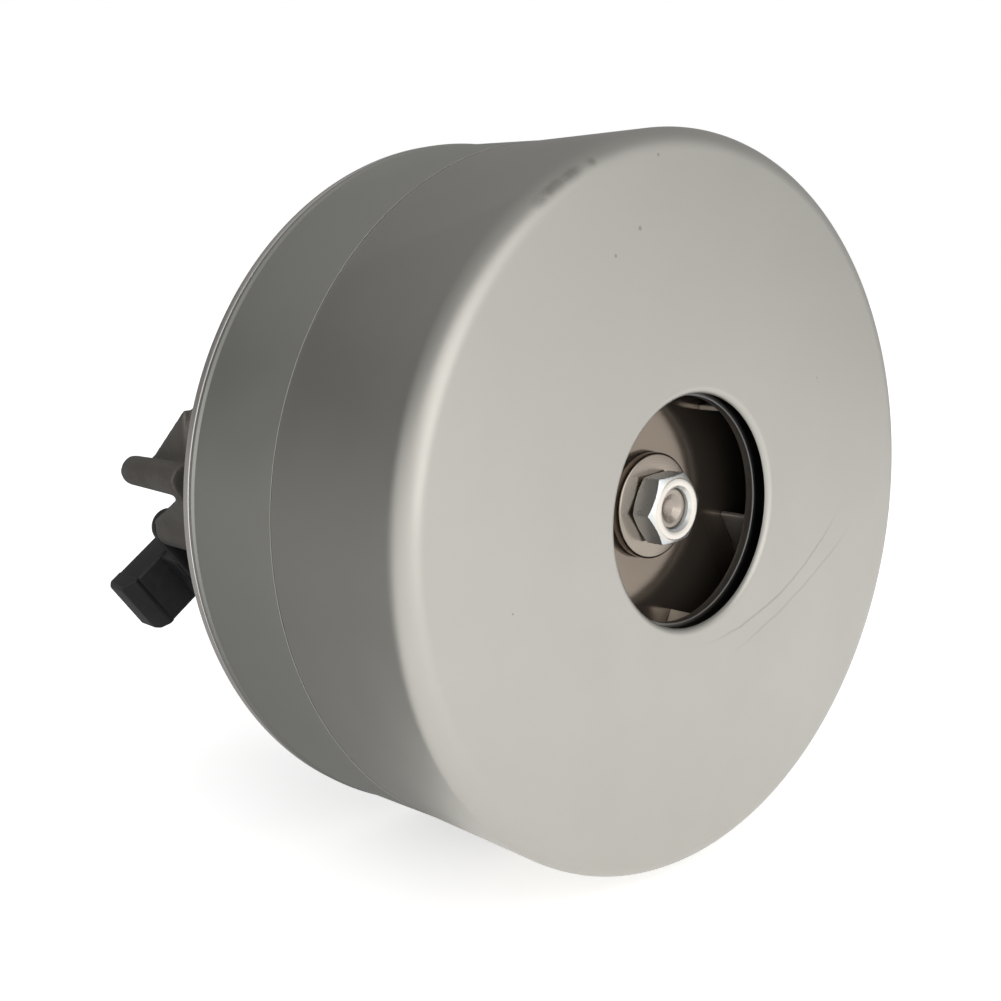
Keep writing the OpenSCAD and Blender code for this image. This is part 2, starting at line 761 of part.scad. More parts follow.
coil_ups = [for (i = [0 : 24 * coil_turns]) [cos(coil_angle_at(i)), sin(coil_angle_at(i)), 0]];

echo(field_winding_least_gap = least_gap(coil_points, wire_d, 12));

module field_wire(side) in_place() rotate([0, 0, pole_angle + 180 * side])
    wire(coil_points, coil_ups, wire_d);

module field_coil_a() color([0.62, 0.36, 0.2]) coil_core(0);

module field_coil_b() color([0.62, 0.36, 0.2]) coil_core(1);

module field_winding_a() color([0.7, 0.4, 0.2]) field_wire(0);

module field_winding_b() color([0.7, 0.4, 0.2]) field_wire(1);

slot_in = shaft_d / 2 + 5;
slot_out = armature_d / 2 - 1.6;

module slot_area(gap) {
    body = 2 * PI * slot_in / slots * 0.62;
    translate([slot_in, -body / 2 + gap]) square([slot_out - slot_in - gap, body - 2 * gap]);
    if (gap == 0) translate([slot_out - 1, -slot_w / 2]) square([4, slot_w]);
}

module armature_core() color([0.36, 0.36, 0.37]) in_place()
    translate([0, 0, armature_z]) linear_extrude(armature_end - armature_z) difference() {
        circle(d = armature_d);
        circle(d = shaft_d + 2 * seat_fit);
        for (i = [0 : slots - 1]) rotate(i * 360 / slots) slot_area(0);
    }

module armature_winding() color([0.6, 0.3, 0.16]) in_place() {
    head = armature_d / 2 - 2.5;
    for (i = [0 : slots - 1])
        rotate([0, 0, i * 360 / slots])
            translate([0, 0, armature_z - 1])
                linear_extrude(armature_end - armature_z + 2) slot_area(0.1);
    turned([
        [slot_in - 3, armature_z - 0.5],
        [head, armature_z - 0.5],
        [head, armature_z - 4],
        [head - 4, armature_z - 8],
        [slot_in - 1, armature_z - 8],
        [slot_in - 3, armature_z - 6]
    ]);
    turned([
        [slot_in - 3, armature_end + 0.5],
        [head, armature_end + 0.5],
        [head, armature_end + 4],
        [commutator_r + 2, commutator_z - 3.5],
        [commutator_r - 3, commutator_z - 3.5],
        [slot_in - 3, armature_end + 7]
    ]);
}

module commutator_hub() color([0.25, 0.16, 0.1]) in_place()
    ring(commutator_r - bar_h - seat_fit, shaft_d / 2 + seat_fit, commutator_z - 2, commutator_end);

module commutator_bars() color([0.72, 0.42, 0.26]) in_place() difference() {
    union() {
        ring(commutator_r, commutator_r - bar_h, commutator_z - 0.5, commutator_end - 0.4);
        ring(commutator_r + 2, commutator_r - 2, commutator_z - 3, commutator_z);
    }
    for (i = [0 : slots - 1])
        rotate([0, 0, (i + 0.5) * 360 / slots])
            translate([0, -bar_gap / 2, commutator_z - 4])
                cube([commutator_r + 4, bar_gap, commutator_end - commutator_z + 6]);
}

module tie_screws() color([0.6, 0.61, 0.6]) in_place()
    for (a = tie_angles)
        rotate([0, 0, a]) translate([tie_r, 0, 0]) difference() {
            turned([
                [0, bracket_z + 6],
                [tie_d / 2, bracket_z + 6],
                [tie_d / 2, ring_end],
                [tie_d * 0.9, ring_end],
                [tie_d * 0.9, ring_end + tie_d * 0.45],
                [tie_d * 0.6, ring_end + tie_d * 0.7],
                [0, ring_end + tie_d * 0.7]
            ]);
            for (q = [0, 90])
                rotate([0, 0, q])
                    translate([-tie_d * 0.5, -0.5, ring_end + tie_d * 0.35]) cube([tie_d, 1, tie_d]);
        }

// Rear bracket

module arm() rotate([90, 0, 0]) translate([0, 0, -arm_t / 2]) linear_extrude(arm_t) polygon([
    [ring_in + 0.2, ring_end - 1.5],
    [ring_r + 1, ring_end - 1.5],
    [ring_r - 1, ring_end + 6],
    [elbow_r, brush_z - 5],
    [shoulder_r, rear_hub_z + 4.5],
    [rear_hub_r - 3, rear_hub_z + 10.5],
    [rear_hub_r - 3, rear_hub_z + 2],
    [shoulder_r - arm_w, rear_hub_z - 2],
    [elbow_r - arm_w, brush_z - 7],
    [ring_in + 0.2, ring_end + 10]
]);

// A post, with its gusset on the side that lean points to
module post(lean) {
    translate([post_r, 0, ring_end - 8])
        cylinder(r1 = post_d / 2 + 0.5, r2 = post_d / 2, h = post_end - ring_end + 8);
    translate([ring_r - gusset_t + 0.2, 0, 0])
        rotate([90, 0, 90]) linear_extrude(gusset_t) polygon([
            [0, ring_end - 1],
            [lean * gusset_w, ring_end - 1],
            [lean * post_d * 0.42, gusset_end],
            [0, gusset_end]
        ]);
}

module brush_bosses()
    for (s = [-1, 1])
        translate([boss_x, s * ear_pitch / 2, ring_end - 3])
            cylinder(d = boss_d, h = boss_z - ring_end + 3);

// A steep web from a boss down to the foot of the nearest post, along the boss's outer side
module boss_web() {
    foot = post_r * [cos(180 - brush_angle), sin(180 - brush_angle)];
    run = foot - [boss_x, ear_pitch / 2];
    front = stator_end - ring_skirt + 0.7;
    translate([boss_x, ear_pitch / 2, 0]) rotate([0, 0, atan2(run[1], run[0])])
        translate([0, boss_web_t - boss_d / 2 + 0.8, 0]) rotate([90, 0, 0]) linear_extrude(boss_web_t) polygon([
            [0, ring_end - 2],
            [4, front],
            [norm(run), front],
            [norm(run), front + 1],
            [norm(run) - 2.9, front + 1.6],
            [boss_d / 2 - 0.3, boss_z - 1],
            [0, boss_z - 1]
        ]);
}

module commutator_bracket() color([0.58, 0.58, 0.56]) in_place() difference() {
    union() {
        ring(ring_r, ring_in, stator_end, ring_end);
        ring(ring_r, stator_r + seat_fit, stator_end - ring_skirt, stator_end + 1);
        disc(rear_hub_r, rear_hub_z, rear_hub_end);
        for (q = [0 : 3]) rotate([0, 0, 90 * q]) {
            arm();
            post(q % 2 == 0 ? 1 : -1);
        }
        for (s = [0, 180]) rotate([0, 0, brush_angle + s]) {
            brush_bosses();
            boss_web();
        }
    }
    disc(rear_bearing_d / 2 - 3, rear_hub_z - cut, rear_hub_end + cut);
    disc(rear_bearing_d / 2, rear_bearing_z, rear_hub_end + cut);
    for (a = tie_angles)
        rotate([0, 0, a]) translate([tie_r, 0, stator_end - cut])
            cylinder(d = tie_d + 0.5, h = ring_t + 2 * cut);
    for (q = [0 : 3])
        rotate([0, 0, 90 * q]) translate([post_r, 0, post_end - post_hole_depth])
            cylinder(d = post_hole_d, h = post_hole_depth + cut);
    for (s = [0, 180])
        for (t = [-1, 1])
            rotate([0, 0, brush_angle + s]) translate([boss_x, t * ear_pitch / 2, boss_z - ear_screw_l - 1])
                cylinder(d = ear_screw_d + 2 * seat_fit, h = ear_screw_l + 1 + cut);
}

module rear_bearing_cap() color([0.66, 0.66, 0.65]) in_place() {
    r = rear_bearing_d / 2 - seat_fit;
    ring(r, r - cap_wall, rear_bearing_end + 0.1, rear_hub_end - 0.4);
    disc(r - cap_wall / 2, rear_hub_end - 0.4 - cap_wall, rear_hub_end - 0.4);
}

// Brush gear, drawn along +X with the commutator at the origin

module holder_body() difference() {
    union() {
        block(holder_in, cap_in, holder_w, brush_z - holder_h / 2, brush_z + holder_h / 2);
        block(boss_x - ear_w / 2, boss_x + ear_w / 2, holder_w - 1, boss_z, brush_z - holder_h / 2 + 0.5);
        block(boss_x - ear_w / 2, boss_x + ear_w / 2, ear_pitch, boss_z, boss_z + ear_t);
        for (s = [-1, 1]) translate([boss_x, s * ear_pitch / 2, boss_z]) cylinder(d = ear_w, h = ear_t);
    }
    for (s = [-1, 1])
        translate([boss_x, s * ear_pitch / 2, boss_z - cut])
            cylinder(d = ear_screw_d + 0.4, h = ear_t + 2 * cut);
    block(holder_in - cut, cap_in + cut, guide_w + 2 * seat_fit,
        brush_z - guide_h / 2 - seat_fit, brush_z + guide_h / 2 + seat_fit);
    block(tab_x - 0.15, tab_x + blade_w + 0.15, tab_t + 0.3, brush_z, brush_z + holder_h);
}

module cap_body() {
    intersection() {
        block(cap_in, holder_end, holder_w, brush_z - holder_h / 2, brush_z + holder_h / 2);
        translate([0, 0, brush_z - holder_h]) linear_extrude(2 * holder_h) polygon([
            [cap_in, -holder_w / 2],
            [holder_end - cap_corner, -holder_w / 2],
            [holder_end, cap_corner - holder_w / 2],
            [holder_end, holder_w / 2 - cap_corner],
            [holder_end - cap_corner, holder_w / 2],
            [cap_in, holder_w / 2]
        ]);
        rotate([90, 0, 0]) translate([0, 0, -holder_w]) linear_extrude(2 * holder_w) polygon([
            [cap_in, brush_z - holder_h / 2],
            [holder_end - cap_chamfer, brush_z - holder_h / 2],
            [holder_end, brush_z - holder_h / 2 + cap_chamfer],
            [holder_end, brush_z + holder_h / 2],
            [cap_in, brush_z + holder_h / 2]
        ]);
    }
    block(plug_in, cap_in + 0.5, guide_w - 1, brush_z - guide_h / 2 + 0.5, brush_z + guide_h / 2 - 0.5);
}

module guide_body() difference() {
    block(holder_in - 3.5, plug_in - 0.1, guide_w, brush_z - guide_h / 2, brush_z + guide_h / 2);
    block(holder_in - 5, plug_in + cut, guide_w - 2 * guide_t,
        brush_z - guide_h / 2 + guide_t, brush_z + guide_h / 2 - guide_t);
}

module brush_body() difference() {
    block(commutator_r * 0.9, brush_out, brush_w, brush_z - brush_h / 2, brush_z + brush_h / 2);
    disc(brush_in, brush_z - brush_h, brush_z + brush_h);
}

module terminal_body()
    block(tab_x, tab_x + blade_w, tab_t, brush_z + guide_h / 2, brush_z + holder_h / 2 + tab_l);

module holder_screw_pair() {
    seat = boss_z + ear_t;
    for (s = [-1, 1])
        translate([boss_x, s * ear_pitch / 2, 0]) difference() {
            turned([
                [0, boss_z - ear_screw_l],
                [ear_screw_d / 2, boss_z - ear_screw_l],
                [ear_screw_d / 2, seat],
                [ear_screw_d * 0.95, seat],
                [ear_screw_d * 0.95, seat + ear_screw_d * 0.5],
                [ear_screw_d * 0.6, seat + ear_screw_d * 0.75],
                [0, seat + ear_screw_d * 0.75]
            ]);
            for (q = [0, 90])
                rotate([0, 0, q])
                    translate([-ear_screw_d * 0.5, -0.4, seat + ear_screw_d * 0.4])
                        cube([ear_screw_d, 0.8, ear_screw_d]);
        }
}

spring_in = brush_out + spring_wire_d / 2 + 0.15;
spring_out = plug_in - spring_wire_d / 2 - 0.15;
spring_r = (spring_d - spring_wire_d) / 2;

spring_points = [
    for (i = [0 : 8 * spring_turns])
        [
            spring_in + (spring_out - spring_in) * i / 8 / spring_turns,
            spring_r * cos(45 * i),
            brush_z + spring_r * sin(45 * i)
        ]
];

spring_ups = [for (i = [0 : 8 * spring_turns]) [0, cos(45 * i), sin(45 * i)]];

echo(brush_spring_least_gap = least_gap(spring_points, spring_wire_d, 4));

module spring_body() wire(spring_points, spring_ups, spring_wire_d);

module brush_holder_a() color([0.09, 0.09, 0.09]) at_brush(0) holder_body();

module brush_holder_b() color([0.09, 0.09, 0.09]) at_brush(1) holder_body();

module brush_cap_a() color([0.1, 0.1, 0.1]) at_brush(0) cap_body();

module brush_cap_b() color([0.1, 0.1, 0.1]) at_brush(1) cap_body();

module brush_guide_a() color([0.8, 0.65, 0.3]) at_brush(0) guide_body();

module brush_guide_b() color([0.8, 0.65, 0.3]) at_brush(1) guide_body();

module carbon_brush_a() color([0.14, 0.14, 0.15]) at_brush(0) brush_body();

module carbon_brush_b() color([0.14, 0.14, 0.15]) at_brush(1) brush_body();

module brush_spring_a() color([0.6, 0.6, 0.62]) at_brush(0) spring_body();

module brush_spring_b() color([0.6, 0.6, 0.62]) at_brush(1) spring_body();

module brush_terminal_a() color([0.8, 0.65, 0.3]) at_brush(0) terminal_body();

module brush_terminal_b() color([0.8, 0.65, 0.3]) at_brush(1) terminal_body();

module holder_screws() color([0.6, 0.61, 0.6]) {
    at_brush(0) holder_screw_pair();
    at_brush(1) holder_screw_pair();
}

front_shell();
rear_shell();
stage_divider();
first_guide();
second_guide();
fan_bracket();
bearing_retainer();
fan_bearing_outer();
stator_core();
field_coil_a();
field_coil_b();
field_winding_a();
field_winding_b();
commutator_bracket();
tie_screws();
rear_bearing_outer();
rear_bearing_cap();
brush_holder_a();
brush_holder_b();
brush_cap_a();
brush_cap_b();
brush_guide_a();
brush_guide_b();
brush_terminal_a();
brush_terminal_b();
holder_screws();
brush_spring_a();
brush_spring_b();
shaft();
impeller_nut();
front_washer();
impeller_1_shroud();
impeller_1_blades();
impeller_1_plate();
impeller_spacer();
stage_washer();
impeller_2_shroud();
impeller_2_blades();
impeller_2_plate();
rear_spacer();
fan_bearing_inner();
armature_core();
armature_winding();
commutator_hub();
commutator_bars();
rear_bearing_inner();
fan_bearing_balls();
fan_bearing_cage();
rear_bearing_balls();
rear_bearing_cage();
carbon_brush_a();
carbon_brush_b();
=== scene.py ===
import json
import math
import random

import bmesh
import bpy
from mathutils import Matrix, Vector


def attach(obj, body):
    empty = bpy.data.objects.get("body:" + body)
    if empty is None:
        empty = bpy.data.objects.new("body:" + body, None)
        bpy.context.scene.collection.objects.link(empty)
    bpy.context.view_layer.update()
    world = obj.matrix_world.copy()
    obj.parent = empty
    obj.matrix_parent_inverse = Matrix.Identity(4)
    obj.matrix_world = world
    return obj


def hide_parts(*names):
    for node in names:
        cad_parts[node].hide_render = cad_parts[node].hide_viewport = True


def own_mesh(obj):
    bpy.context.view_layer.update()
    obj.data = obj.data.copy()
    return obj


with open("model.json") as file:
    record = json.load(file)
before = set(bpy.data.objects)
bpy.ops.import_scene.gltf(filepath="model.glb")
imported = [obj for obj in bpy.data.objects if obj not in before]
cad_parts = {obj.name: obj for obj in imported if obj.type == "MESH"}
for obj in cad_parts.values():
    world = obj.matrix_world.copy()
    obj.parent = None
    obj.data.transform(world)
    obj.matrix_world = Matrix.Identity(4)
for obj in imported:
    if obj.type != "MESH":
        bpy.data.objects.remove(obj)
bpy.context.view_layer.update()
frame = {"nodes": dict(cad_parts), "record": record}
print("frame loaded:", len(frame["nodes"]), "nodes")

# pieces are drawn in mm with the shaft along +Z, then turned into the row's frame in metres
mm = 0.001
intoRow = Matrix(((mm, 0, 0, 0), (0, 0, mm, 0), (0, -mm, 0, 0), (0, 0, 0, 1)))
brushAngle = 142.0
brushDepth = 139.0
poleAngle = brushAngle - 90
sheetPitch = 0.75
pairSides = (("a", 0), ("b", 180))


# node wiring

def feed(tree, inputs, values):
    # links what varies and sets what is constant on a node's own sockets
    for key, value in values.items():
        if isinstance(value, Flow):
            tree.links.new(value.socket, inputs[key])
        else:
            inputs[key].default_value = value


class Flow:
    # wraps one socket of a node tree, so that sums on values read as sums

    def __init__(self, tree, socket=None):
        self.tree = tree
        self.socket = socket

    def node(self, kind, settings=None, values=None, out=0):
        made = self.tree.nodes.new(kind)
        for key, value in (settings or {}).items():
            setattr(made, key, value)
        feed(self.tree, made.inputs, values or {})
        return Flow(self.tree, made.outputs[out])

    def math(self, operation, first, second=0.0, clamp=False):
        return self.node("ShaderNodeMath", {"operation": operation, "use_clamp": clamp}, {0: first, 1: second})

    def __add__(self, other):
        return self.math("ADD", self, other)

    def __sub__(self, other):
        return self.math("SUBTRACT", self, other)

    def __mul__(self, other):
        return self.math("MULTIPLY", self, other)

    def __truediv__(self, other):
        return self.math("DIVIDE", self, other)

    def __rsub__(self, other):
        return self.math("SUBTRACT", other, self)

    def __rtruediv__(self, other):
        return self.math("DIVIDE", other, self)

    __radd__ = __add__
    __rmul__ = __mul__

    def above(self, edge, soft):
        # 0 below the edge and 1 above it, over a soft width
        return self.math("DIVIDE", self - (edge - soft / 2), soft, clamp=True)

    def below(self, edge, soft):
        return 1 - self.above(edge, soft)

    def noise(self, scale, detail=2.0, rough=0.5):
        return self.node("ShaderNodeTexNoise", {}, {
            "Vector": self, "Scale": scale, "Detail": detail, "Roughness": rough})

    def lines(self, scale):
        # noise along one value only, as on turned or rolled metal
        return self.node("ShaderNodeTexNoise", {"noise_dimensions": "1D"}, {
            "W": self, "Scale": scale, "Detail": 3.0})

    def blend(self, share, dark, light):
        return self.node("ShaderNodeMix", {"data_type": "RGBA"}, {0: share, 6: dark, 7: light}, out=2)

    def distance(self, point):
        return self.node("ShaderNodeVectorMath", {"operation": "DISTANCE"}, {0: self, 1: point}, out=1)

    def dot(self, direction):
        return self.node("ShaderNodeVectorMath", {"operation": "DOT_PRODUCT"}, {0: self, 1: direction}, out=1)

    def depth(self):
        # place along the shaft's axis
        return self.dot((0, 1, 0))

    def radius(self):
        # distance from the shaft's axis
        flat = self.node("ShaderNodeVectorMath", {"operation": "MULTIPLY"}, {0: self, 1: (1, 0, 1)})
        return flat.node("ShaderNodeVectorMath", {"operation": "LENGTH"}, {0: flat}, out=1)


def rgb(colour, level):
    return tuple(min(1.0, part * level) for part in colour) + (1.0,)


def grey(level):
    return (level, level, level, 1)


def startMaterial(name):
    material = bpy.data.materials.new(name)
    material.use_nodes = True
    tree = material.node_tree
    return material, tree, tree.nodes["Principled BSDF"].inputs


# finishes

def finish(name, colour, rough, metal, paint=None, vary=0.06, varyScale=30, grain=0.0, grainScale=1800,
           roughVary=0.06, coat=0.0):
    # paint takes the surface's place, colour, roughness and height, and returns the last three changed
    material, tree, inputs = startMaterial(name)
    place = Flow(tree).node("ShaderNodeTexCoord", out=3)
    cloud = place.noise(varyScale, 4.0, 0.6)
    fine = place.noise(grainScale)
    colourFlow = place.blend(cloud, rgb(colour, 1 - vary), rgb(colour, 1 + vary))
    roughFlow = (place.noise(varyScale * 3.1, 3.0) - 0.5) * (2 * roughVary) + rough
    height = fine * grain
    if paint:
        colourFlow, roughFlow, height = paint(place, colourFlow, roughFlow, height)
    bump = height.node("ShaderNodeBump", {}, {"Height": height, "Strength": 1.0, "Distance": mm})
    feed(tree, inputs, {"Base Color": colourFlow, "Roughness": roughFlow, "Normal": bump, "Metallic": metal,
                        "Coat Weight": coat, "Coat Roughness": 0.25})
    return material


shellMarks = {
    # a scratch is a stretch of a circle: centre, radius, middle of the stretch and half its length
    "scratches": [((-0.0021, 0, 0.0400), 0.0669, (0.0280, 0, -0.0197), 0.0235, 0.28),
                  ((-0.0319, 0, 0.1037), 0.1407, (0.0335, 0, -0.0210), 0.0220, 0.19)],
    "specks": [((-0.0175, 0, 0.0526), 0.00042), ((-0.0237, 0, 0.0477), 0.00032), ((-0.0130, 0, 0.0655), 0.0003),
               ((0.0380, 0, 0.0240), 0.0002), ((-0.0480, 0, -0.0120), 0.0002), ((-0.0696, 0.0015, -0.0175), 0.0006)],
    "scuffs": [((-0.0405, 0.0010, 0.0570), 0.0028), ((-0.0372, 0.0012, 0.0592), 0.0034),
               ((-0.0335, 0.0009, 0.0610), 0.0024), ((-0.0290, 0.0010, 0.0632), 0.0012)],
    "scuffDepth": 0.0011,
}
tints = {"grime": (0.10, 0.095, 0.085, 1), "oil": (0.36, 0.30, 0.24, 1), "yellowing": (0.60, 0.56, 0.46, 1),
         # the nut's warm front tone on the next line is a painted reflection for its chamfer ring
         "warmFrontReflection": (0.80, 0.755, 0.69, 1), "stain": (0.12, 0.108, 0.096, 1), "paleSheet": (0.30, 0.29, 0.28, 1),
         "rust": (0.16, 0.075, 0.035, 1), "varnish": (0.16, 0.045, 0.018, 1), "film": (0.12, 0.06, 0.04, 1),
         "dust": (0.060, 0.056, 0.056, 1), "fibre": (0.42, 0.30, 0.17, 1)}


def paintShell(place, colour, rough, height):
    ragged = place.noise(900, 4.0, 0.7)
    wear = ragged.above(0.78, 0.1) * 0.05
    for centre, radius, middle, half, strength in shellMarks["scratches"]:
        off = place.math("ABSOLUTE", place.distance(centre) - radius + (place.noise(160, 3.0) - 0.5) * 0.0009)
        hair = off.below(0.00022, 0.00030) * place.distance(middle).below(half * 0.85, half * 0.5)
        wear = wear + hair * (ragged * 0.9 + 0.35) * strength
    for spot, size in shellMarks["specks"]:
        wear = wear + place.distance(spot).below(size, size * 0.6) * 0.38
    band = place.math("ABSOLUTE", place.depth() - shellMarks["scuffDepth"]).below(0.0006, 0.0007)
    smear = place.noise(330, 3.0).above(0.34, 0.34)
    for spot, size in shellMarks["scuffs"]:
        near = place.distance(spot).below(size * 0.7, size * 0.8)
        wear = wear + near * band * smear * 0.42
    rub = place.noise(420, 6.0, 0.75).above(0.66, 0.08) * place.noise(21, 2.0).above(0.56, 0.14)
    wear = wear + rub * 0.045
    colour = place.blend(wear, colour, tints["grime"])
    return colour, rough + wear * 0.2, height - wear * 0.03


def paintTurned(place, colour, rough, height):
    ridges = (place.radius() + place.depth()).lines(5200)
    return colour, rough + (ridges - 0.5) * 0.12, height + ridges * 0.010


def paintRolled(place, colour, rough, height):
    rings = place.radius().lines(2400)
    streak = place.noise(16, 5.0, 0.65)
    colour = place.blend(streak.above(0.58, 0.2) * 0.35, colour, tints["oil"])
    return colour, rough + (rings - 0.5) * 0.06, height + rings * 0.0025


def paintZincAndFrontReflection(place, colour, rough, height):
    tint = place.noise(140, 3.0)
    colour = place.blend(tint.above(0.55, 0.2) * 0.25, colour, tints["yellowing"])
    # painted reflection: the turned front of the nut is painted a warmer, lighter tone than the plating, standing in
    # for the warm reflection on its chamfer ring
    colour = place.blend(place.depth().below(0.0052, 0.0004), colour, tints["warmFrontReflection"])
    return colour, rough, height


def paintCast(place, colour, rough, height):
    pits = place.noise(1300, 3.0, 0.65)
    stain = place.noise(60, 5.0, 0.7).above(0.52, 0.25)
    colour = place.blend(stain * 0.45, colour, tints["stain"])
    return colour, rough + stain * 0.1, height + pits * 0.10


def paintSheets(place, colour, rough, height):
    # each sheet of the stack has its own shade, with rust in patches
    sheet = place.depth() * (1 / (sheetPitch * mm)) + 0.333
    index = place.math("FLOOR", sheet)
    shade = place.node("ShaderNodeTexWhiteNoise", {"noise_dimensions": "1D"}, {"W": index})
    colour = place.blend(shade * 0.35, colour, tints["paleSheet"])
    rust = place.noise(85, 5.0, 0.7).above(0.60, 0.16)
    colour = place.blend(rust * 0.5, colour, tints["rust"])
    return colour, rough + rust * 0.2, height


def paintWire(place, colour, rough, height):
    soak = place.noise(210, 4.0, 0.65).above(0.55, 0.25)
    colour = place.blend(soak * 0.55, colour, tints["varnish"])
    return colour, rough + soak * 0.15, height


def paintBars(place, colour, rough, height):
    # the brushes leave a dark, smooth film on their track
    depth = place.depth()
    track = place.math("ABSOLUTE", depth - brushDepth * mm).below(0.0034, 0.0009)
    rings = depth.lines(6500)
    colour = place.blend(track * 0.72, colour, tints["film"])
    return colour, rough - track * 0.08 + (rings - 0.5) * 0.1, height + rings * 0.006


def paintPlastic(place, colour, rough, height):
    dust = place.noise(75, 5.0, 0.7).above(0.57, 0.2)
    colour = place.blend(dust * 0.35, colour, tints["dust"])
    return colour, rough + dust * 0.14, height


def paintPaper(place, colour, rough, height):
    fibre = place.noise(700, 4.0, 0.7)
    colour = place.blend(fibre * 0.4, colour, tints["fibre"])
    return colour, rough, height


finishes = {
    "shell_aluminium": finish("satinShell", (0.475, 0.460, 0.424), 0.46, 1.0, paintShell, 0.035, 22, 0.006, 2600),
    "rear_aluminium": finish("satinBand", (0.455, 0.454, 0.422), 0.46, 1.0, None, 0.035, 26, 0.006, 2600),
    "inner_aluminium": finish("millSheet", (0.50, 0.50, 0.48), 0.34, 1.0, paintRolled, 0.05),
    "cast_aluminium": finish("castMetal", (0.195, 0.181, 0.166), 0.50, 0.8, paintCast, 0.08, 45, 0.05, 2300),
    "turned_rim": finish("turnedRim", (0.84, 0.80, 0.76), 0.34, 1.0, paintTurned, 0.05, 60),
    # painted reflection: the impeller plate's dark brown base colour stands in for the brown and dark reflections on it
    "impeller_aluminium": finish("plateBrownReflection", (0.225, 0.185, 0.150), 0.15, 0.86, paintRolled, 0.06, 40,
                                 roughVary=0.02),
    "blade_sheet": finish("bladeSheet", (0.70, 0.69, 0.66), 0.40, 0.86, paintRolled, 0.06, 60),
    # painted shade: the shroud's dark base colour dims the eye ring to the dark tone it shows inside the inlet
    "dull_sheet": finish("dullShroudPaintedShade", (0.17, 0.167, 0.165), 0.42, 1.0, paintRolled, 0.08, 60),
    "zinc_steel": finish("zincPlate", (0.70, 0.735, 0.745), 0.29, 0.8, paintZincAndFrontReflection, 0.08, 160, 0.006, 3000),
    # painted reflection: the washer's dark brown base colour stands in for the brown reflections on it
    "washer_steel": finish("washerSteelBrownReflection", (0.33, 0.285, 0.24), 0.22, 1.0, paintTurned, 0.08, 90),
    # painted shade and reflection: this dark brownish base colour stands in for the shade in the shaft's recessed tip
    # and the brown reflected there
    "tip_steel": finish("shaftTipShadeAndReflection", (0.36, 0.315, 0.275), 0.28, 1.0, paintTurned, 0.1, 300),
    "shaft_steel": finish("groundSteel", (0.55, 0.54, 0.52), 0.26, 1.0, paintTurned, 0.06, 90),
    "bearing_steel": finish("bearingSteel", (0.66, 0.66, 0.66), 0.14, 1.0, paintTurned, 0.04, 90),
    "spring_steel": finish("springWire", (0.50, 0.50, 0.52), 0.28, 1.0, None, 0.1, 300),
    "lamination": finish("stackedSheet", (0.17, 0.17, 0.175), 0.44, 0.8, paintSheets, 0.08, 70, 0.02, 2500),
    "enamelled_copper": finish("enamelledWire", (0.56, 0.20, 0.065), 0.30, 0.75, paintWire, 0.12, 120, coat=0.5),
    "armature_copper": finish("varnishedWire", (0.42, 0.135, 0.050), 0.33, 0.6, paintWire, 0.12, 140, coat=0.6),
    "bare_copper": finish("turnedCopper", (0.74, 0.40, 0.26), 0.27, 1.0, paintBars, 0.05, 150),
    "brown_resin": finish("brownResin", (0.075, 0.042, 0.024), 0.48, 0.0, None, 0.15, 120, 0.02, 2000),
    "black_plastic": finish("mouldedBlack", (0.0165, 0.0165, 0.0185), 0.42, 0.0, paintPlastic, 0.12, 90, 0.018, 2400),
    "brass": finish("stampedBrass", (0.74, 0.52, 0.20), 0.27, 1.0, paintZincAndFrontReflection, 0.08, 130, 0.004, 2600),
    "carbon": finish("pressedCarbon", (0.030, 0.030, 0.032), 0.55, 0.1, None, 0.2, 400, 0.03, 3200),
    "cage_plastic": finish("cageResin", (0.36, 0.22, 0.085), 0.45, 0.0, None, 0.12, 200, 0.01, 2400),
    "paper": finish("slotPaper", (0.62, 0.52, 0.36), 0.70, 0.0, paintPaper, 0.08, 90, 0.02, 1500),
    "cord": finish("tieCord", (0.66, 0.60, 0.47), 0.80, 0.0, paintPaper, 0.1, 300, 0.04, 2600),
}
finishes["coil_tape"] = finishes["enamelled_copper"]
print("finishes made:", len(finishes))


# shaping tools

def rounded(corners):
    # corners are (x, y, radius) of a closed outline
    points = []
    for i, (x, y, radius) in enumerate(corners):
        here = Vector((x, y))
        before = Vector(corners[i - 1][:2]) - here
        after = Vector(corners[(i + 1) % len(corners)][:2]) - here
        limit = min(before.length, after.length) * 0.49
        before.normalize()
        after.normalize()
        half = before.angle(after) / 2
        if radius <= 0 or abs(half - math.pi / 2) < 0.01:
            points.append((x, y))
            continue
        back = min(radius / math.tan(half), limit)
        radius = back * math.tan(half)
        centre = here + (before + after).normalized() * (radius / math.sin(half))
        start, end = here + before * back - centre, here + after * back - centre
        steps = max(4, int(radius * 3))
        turn = start.angle_signed(end)
        for k in range(steps + 1):
            spun = Matrix.Rotation(-turn * k / steps, 2) @ start
            points.append(tuple(centre + spun))
    return points


def circle(radius, count, x=0.0, y=0.0):
    return [(x + radius * math.cos(2 * math.pi * k / count), y + radius * math.sin(2 * math.pi * k / count))
            for k in range(count)]


def plainMesh(bm):
    mesh = bpy.data.meshes.new("shape")
    bm.to_mesh(mesh)
    bm.free()
    return mesh


def meshOf(bm):
    bmesh.ops.remove_doubles(bm, verts=bm.verts, dist=1e-4)
    bmesh.ops.recalc_face_normals(bm, faces=bm.faces)
    return plainMesh(bm)


def skin(bm, rows, closed=True):
    # faces between each row of points and the next
    count = len(rows[0])
    for here, there in zip(rows, rows[1:]):
        for i in range(count if closed else count - 1):
            j = (i + 1) % count
            bm.faces.new((here[i], here[j], there[j], there[i]))


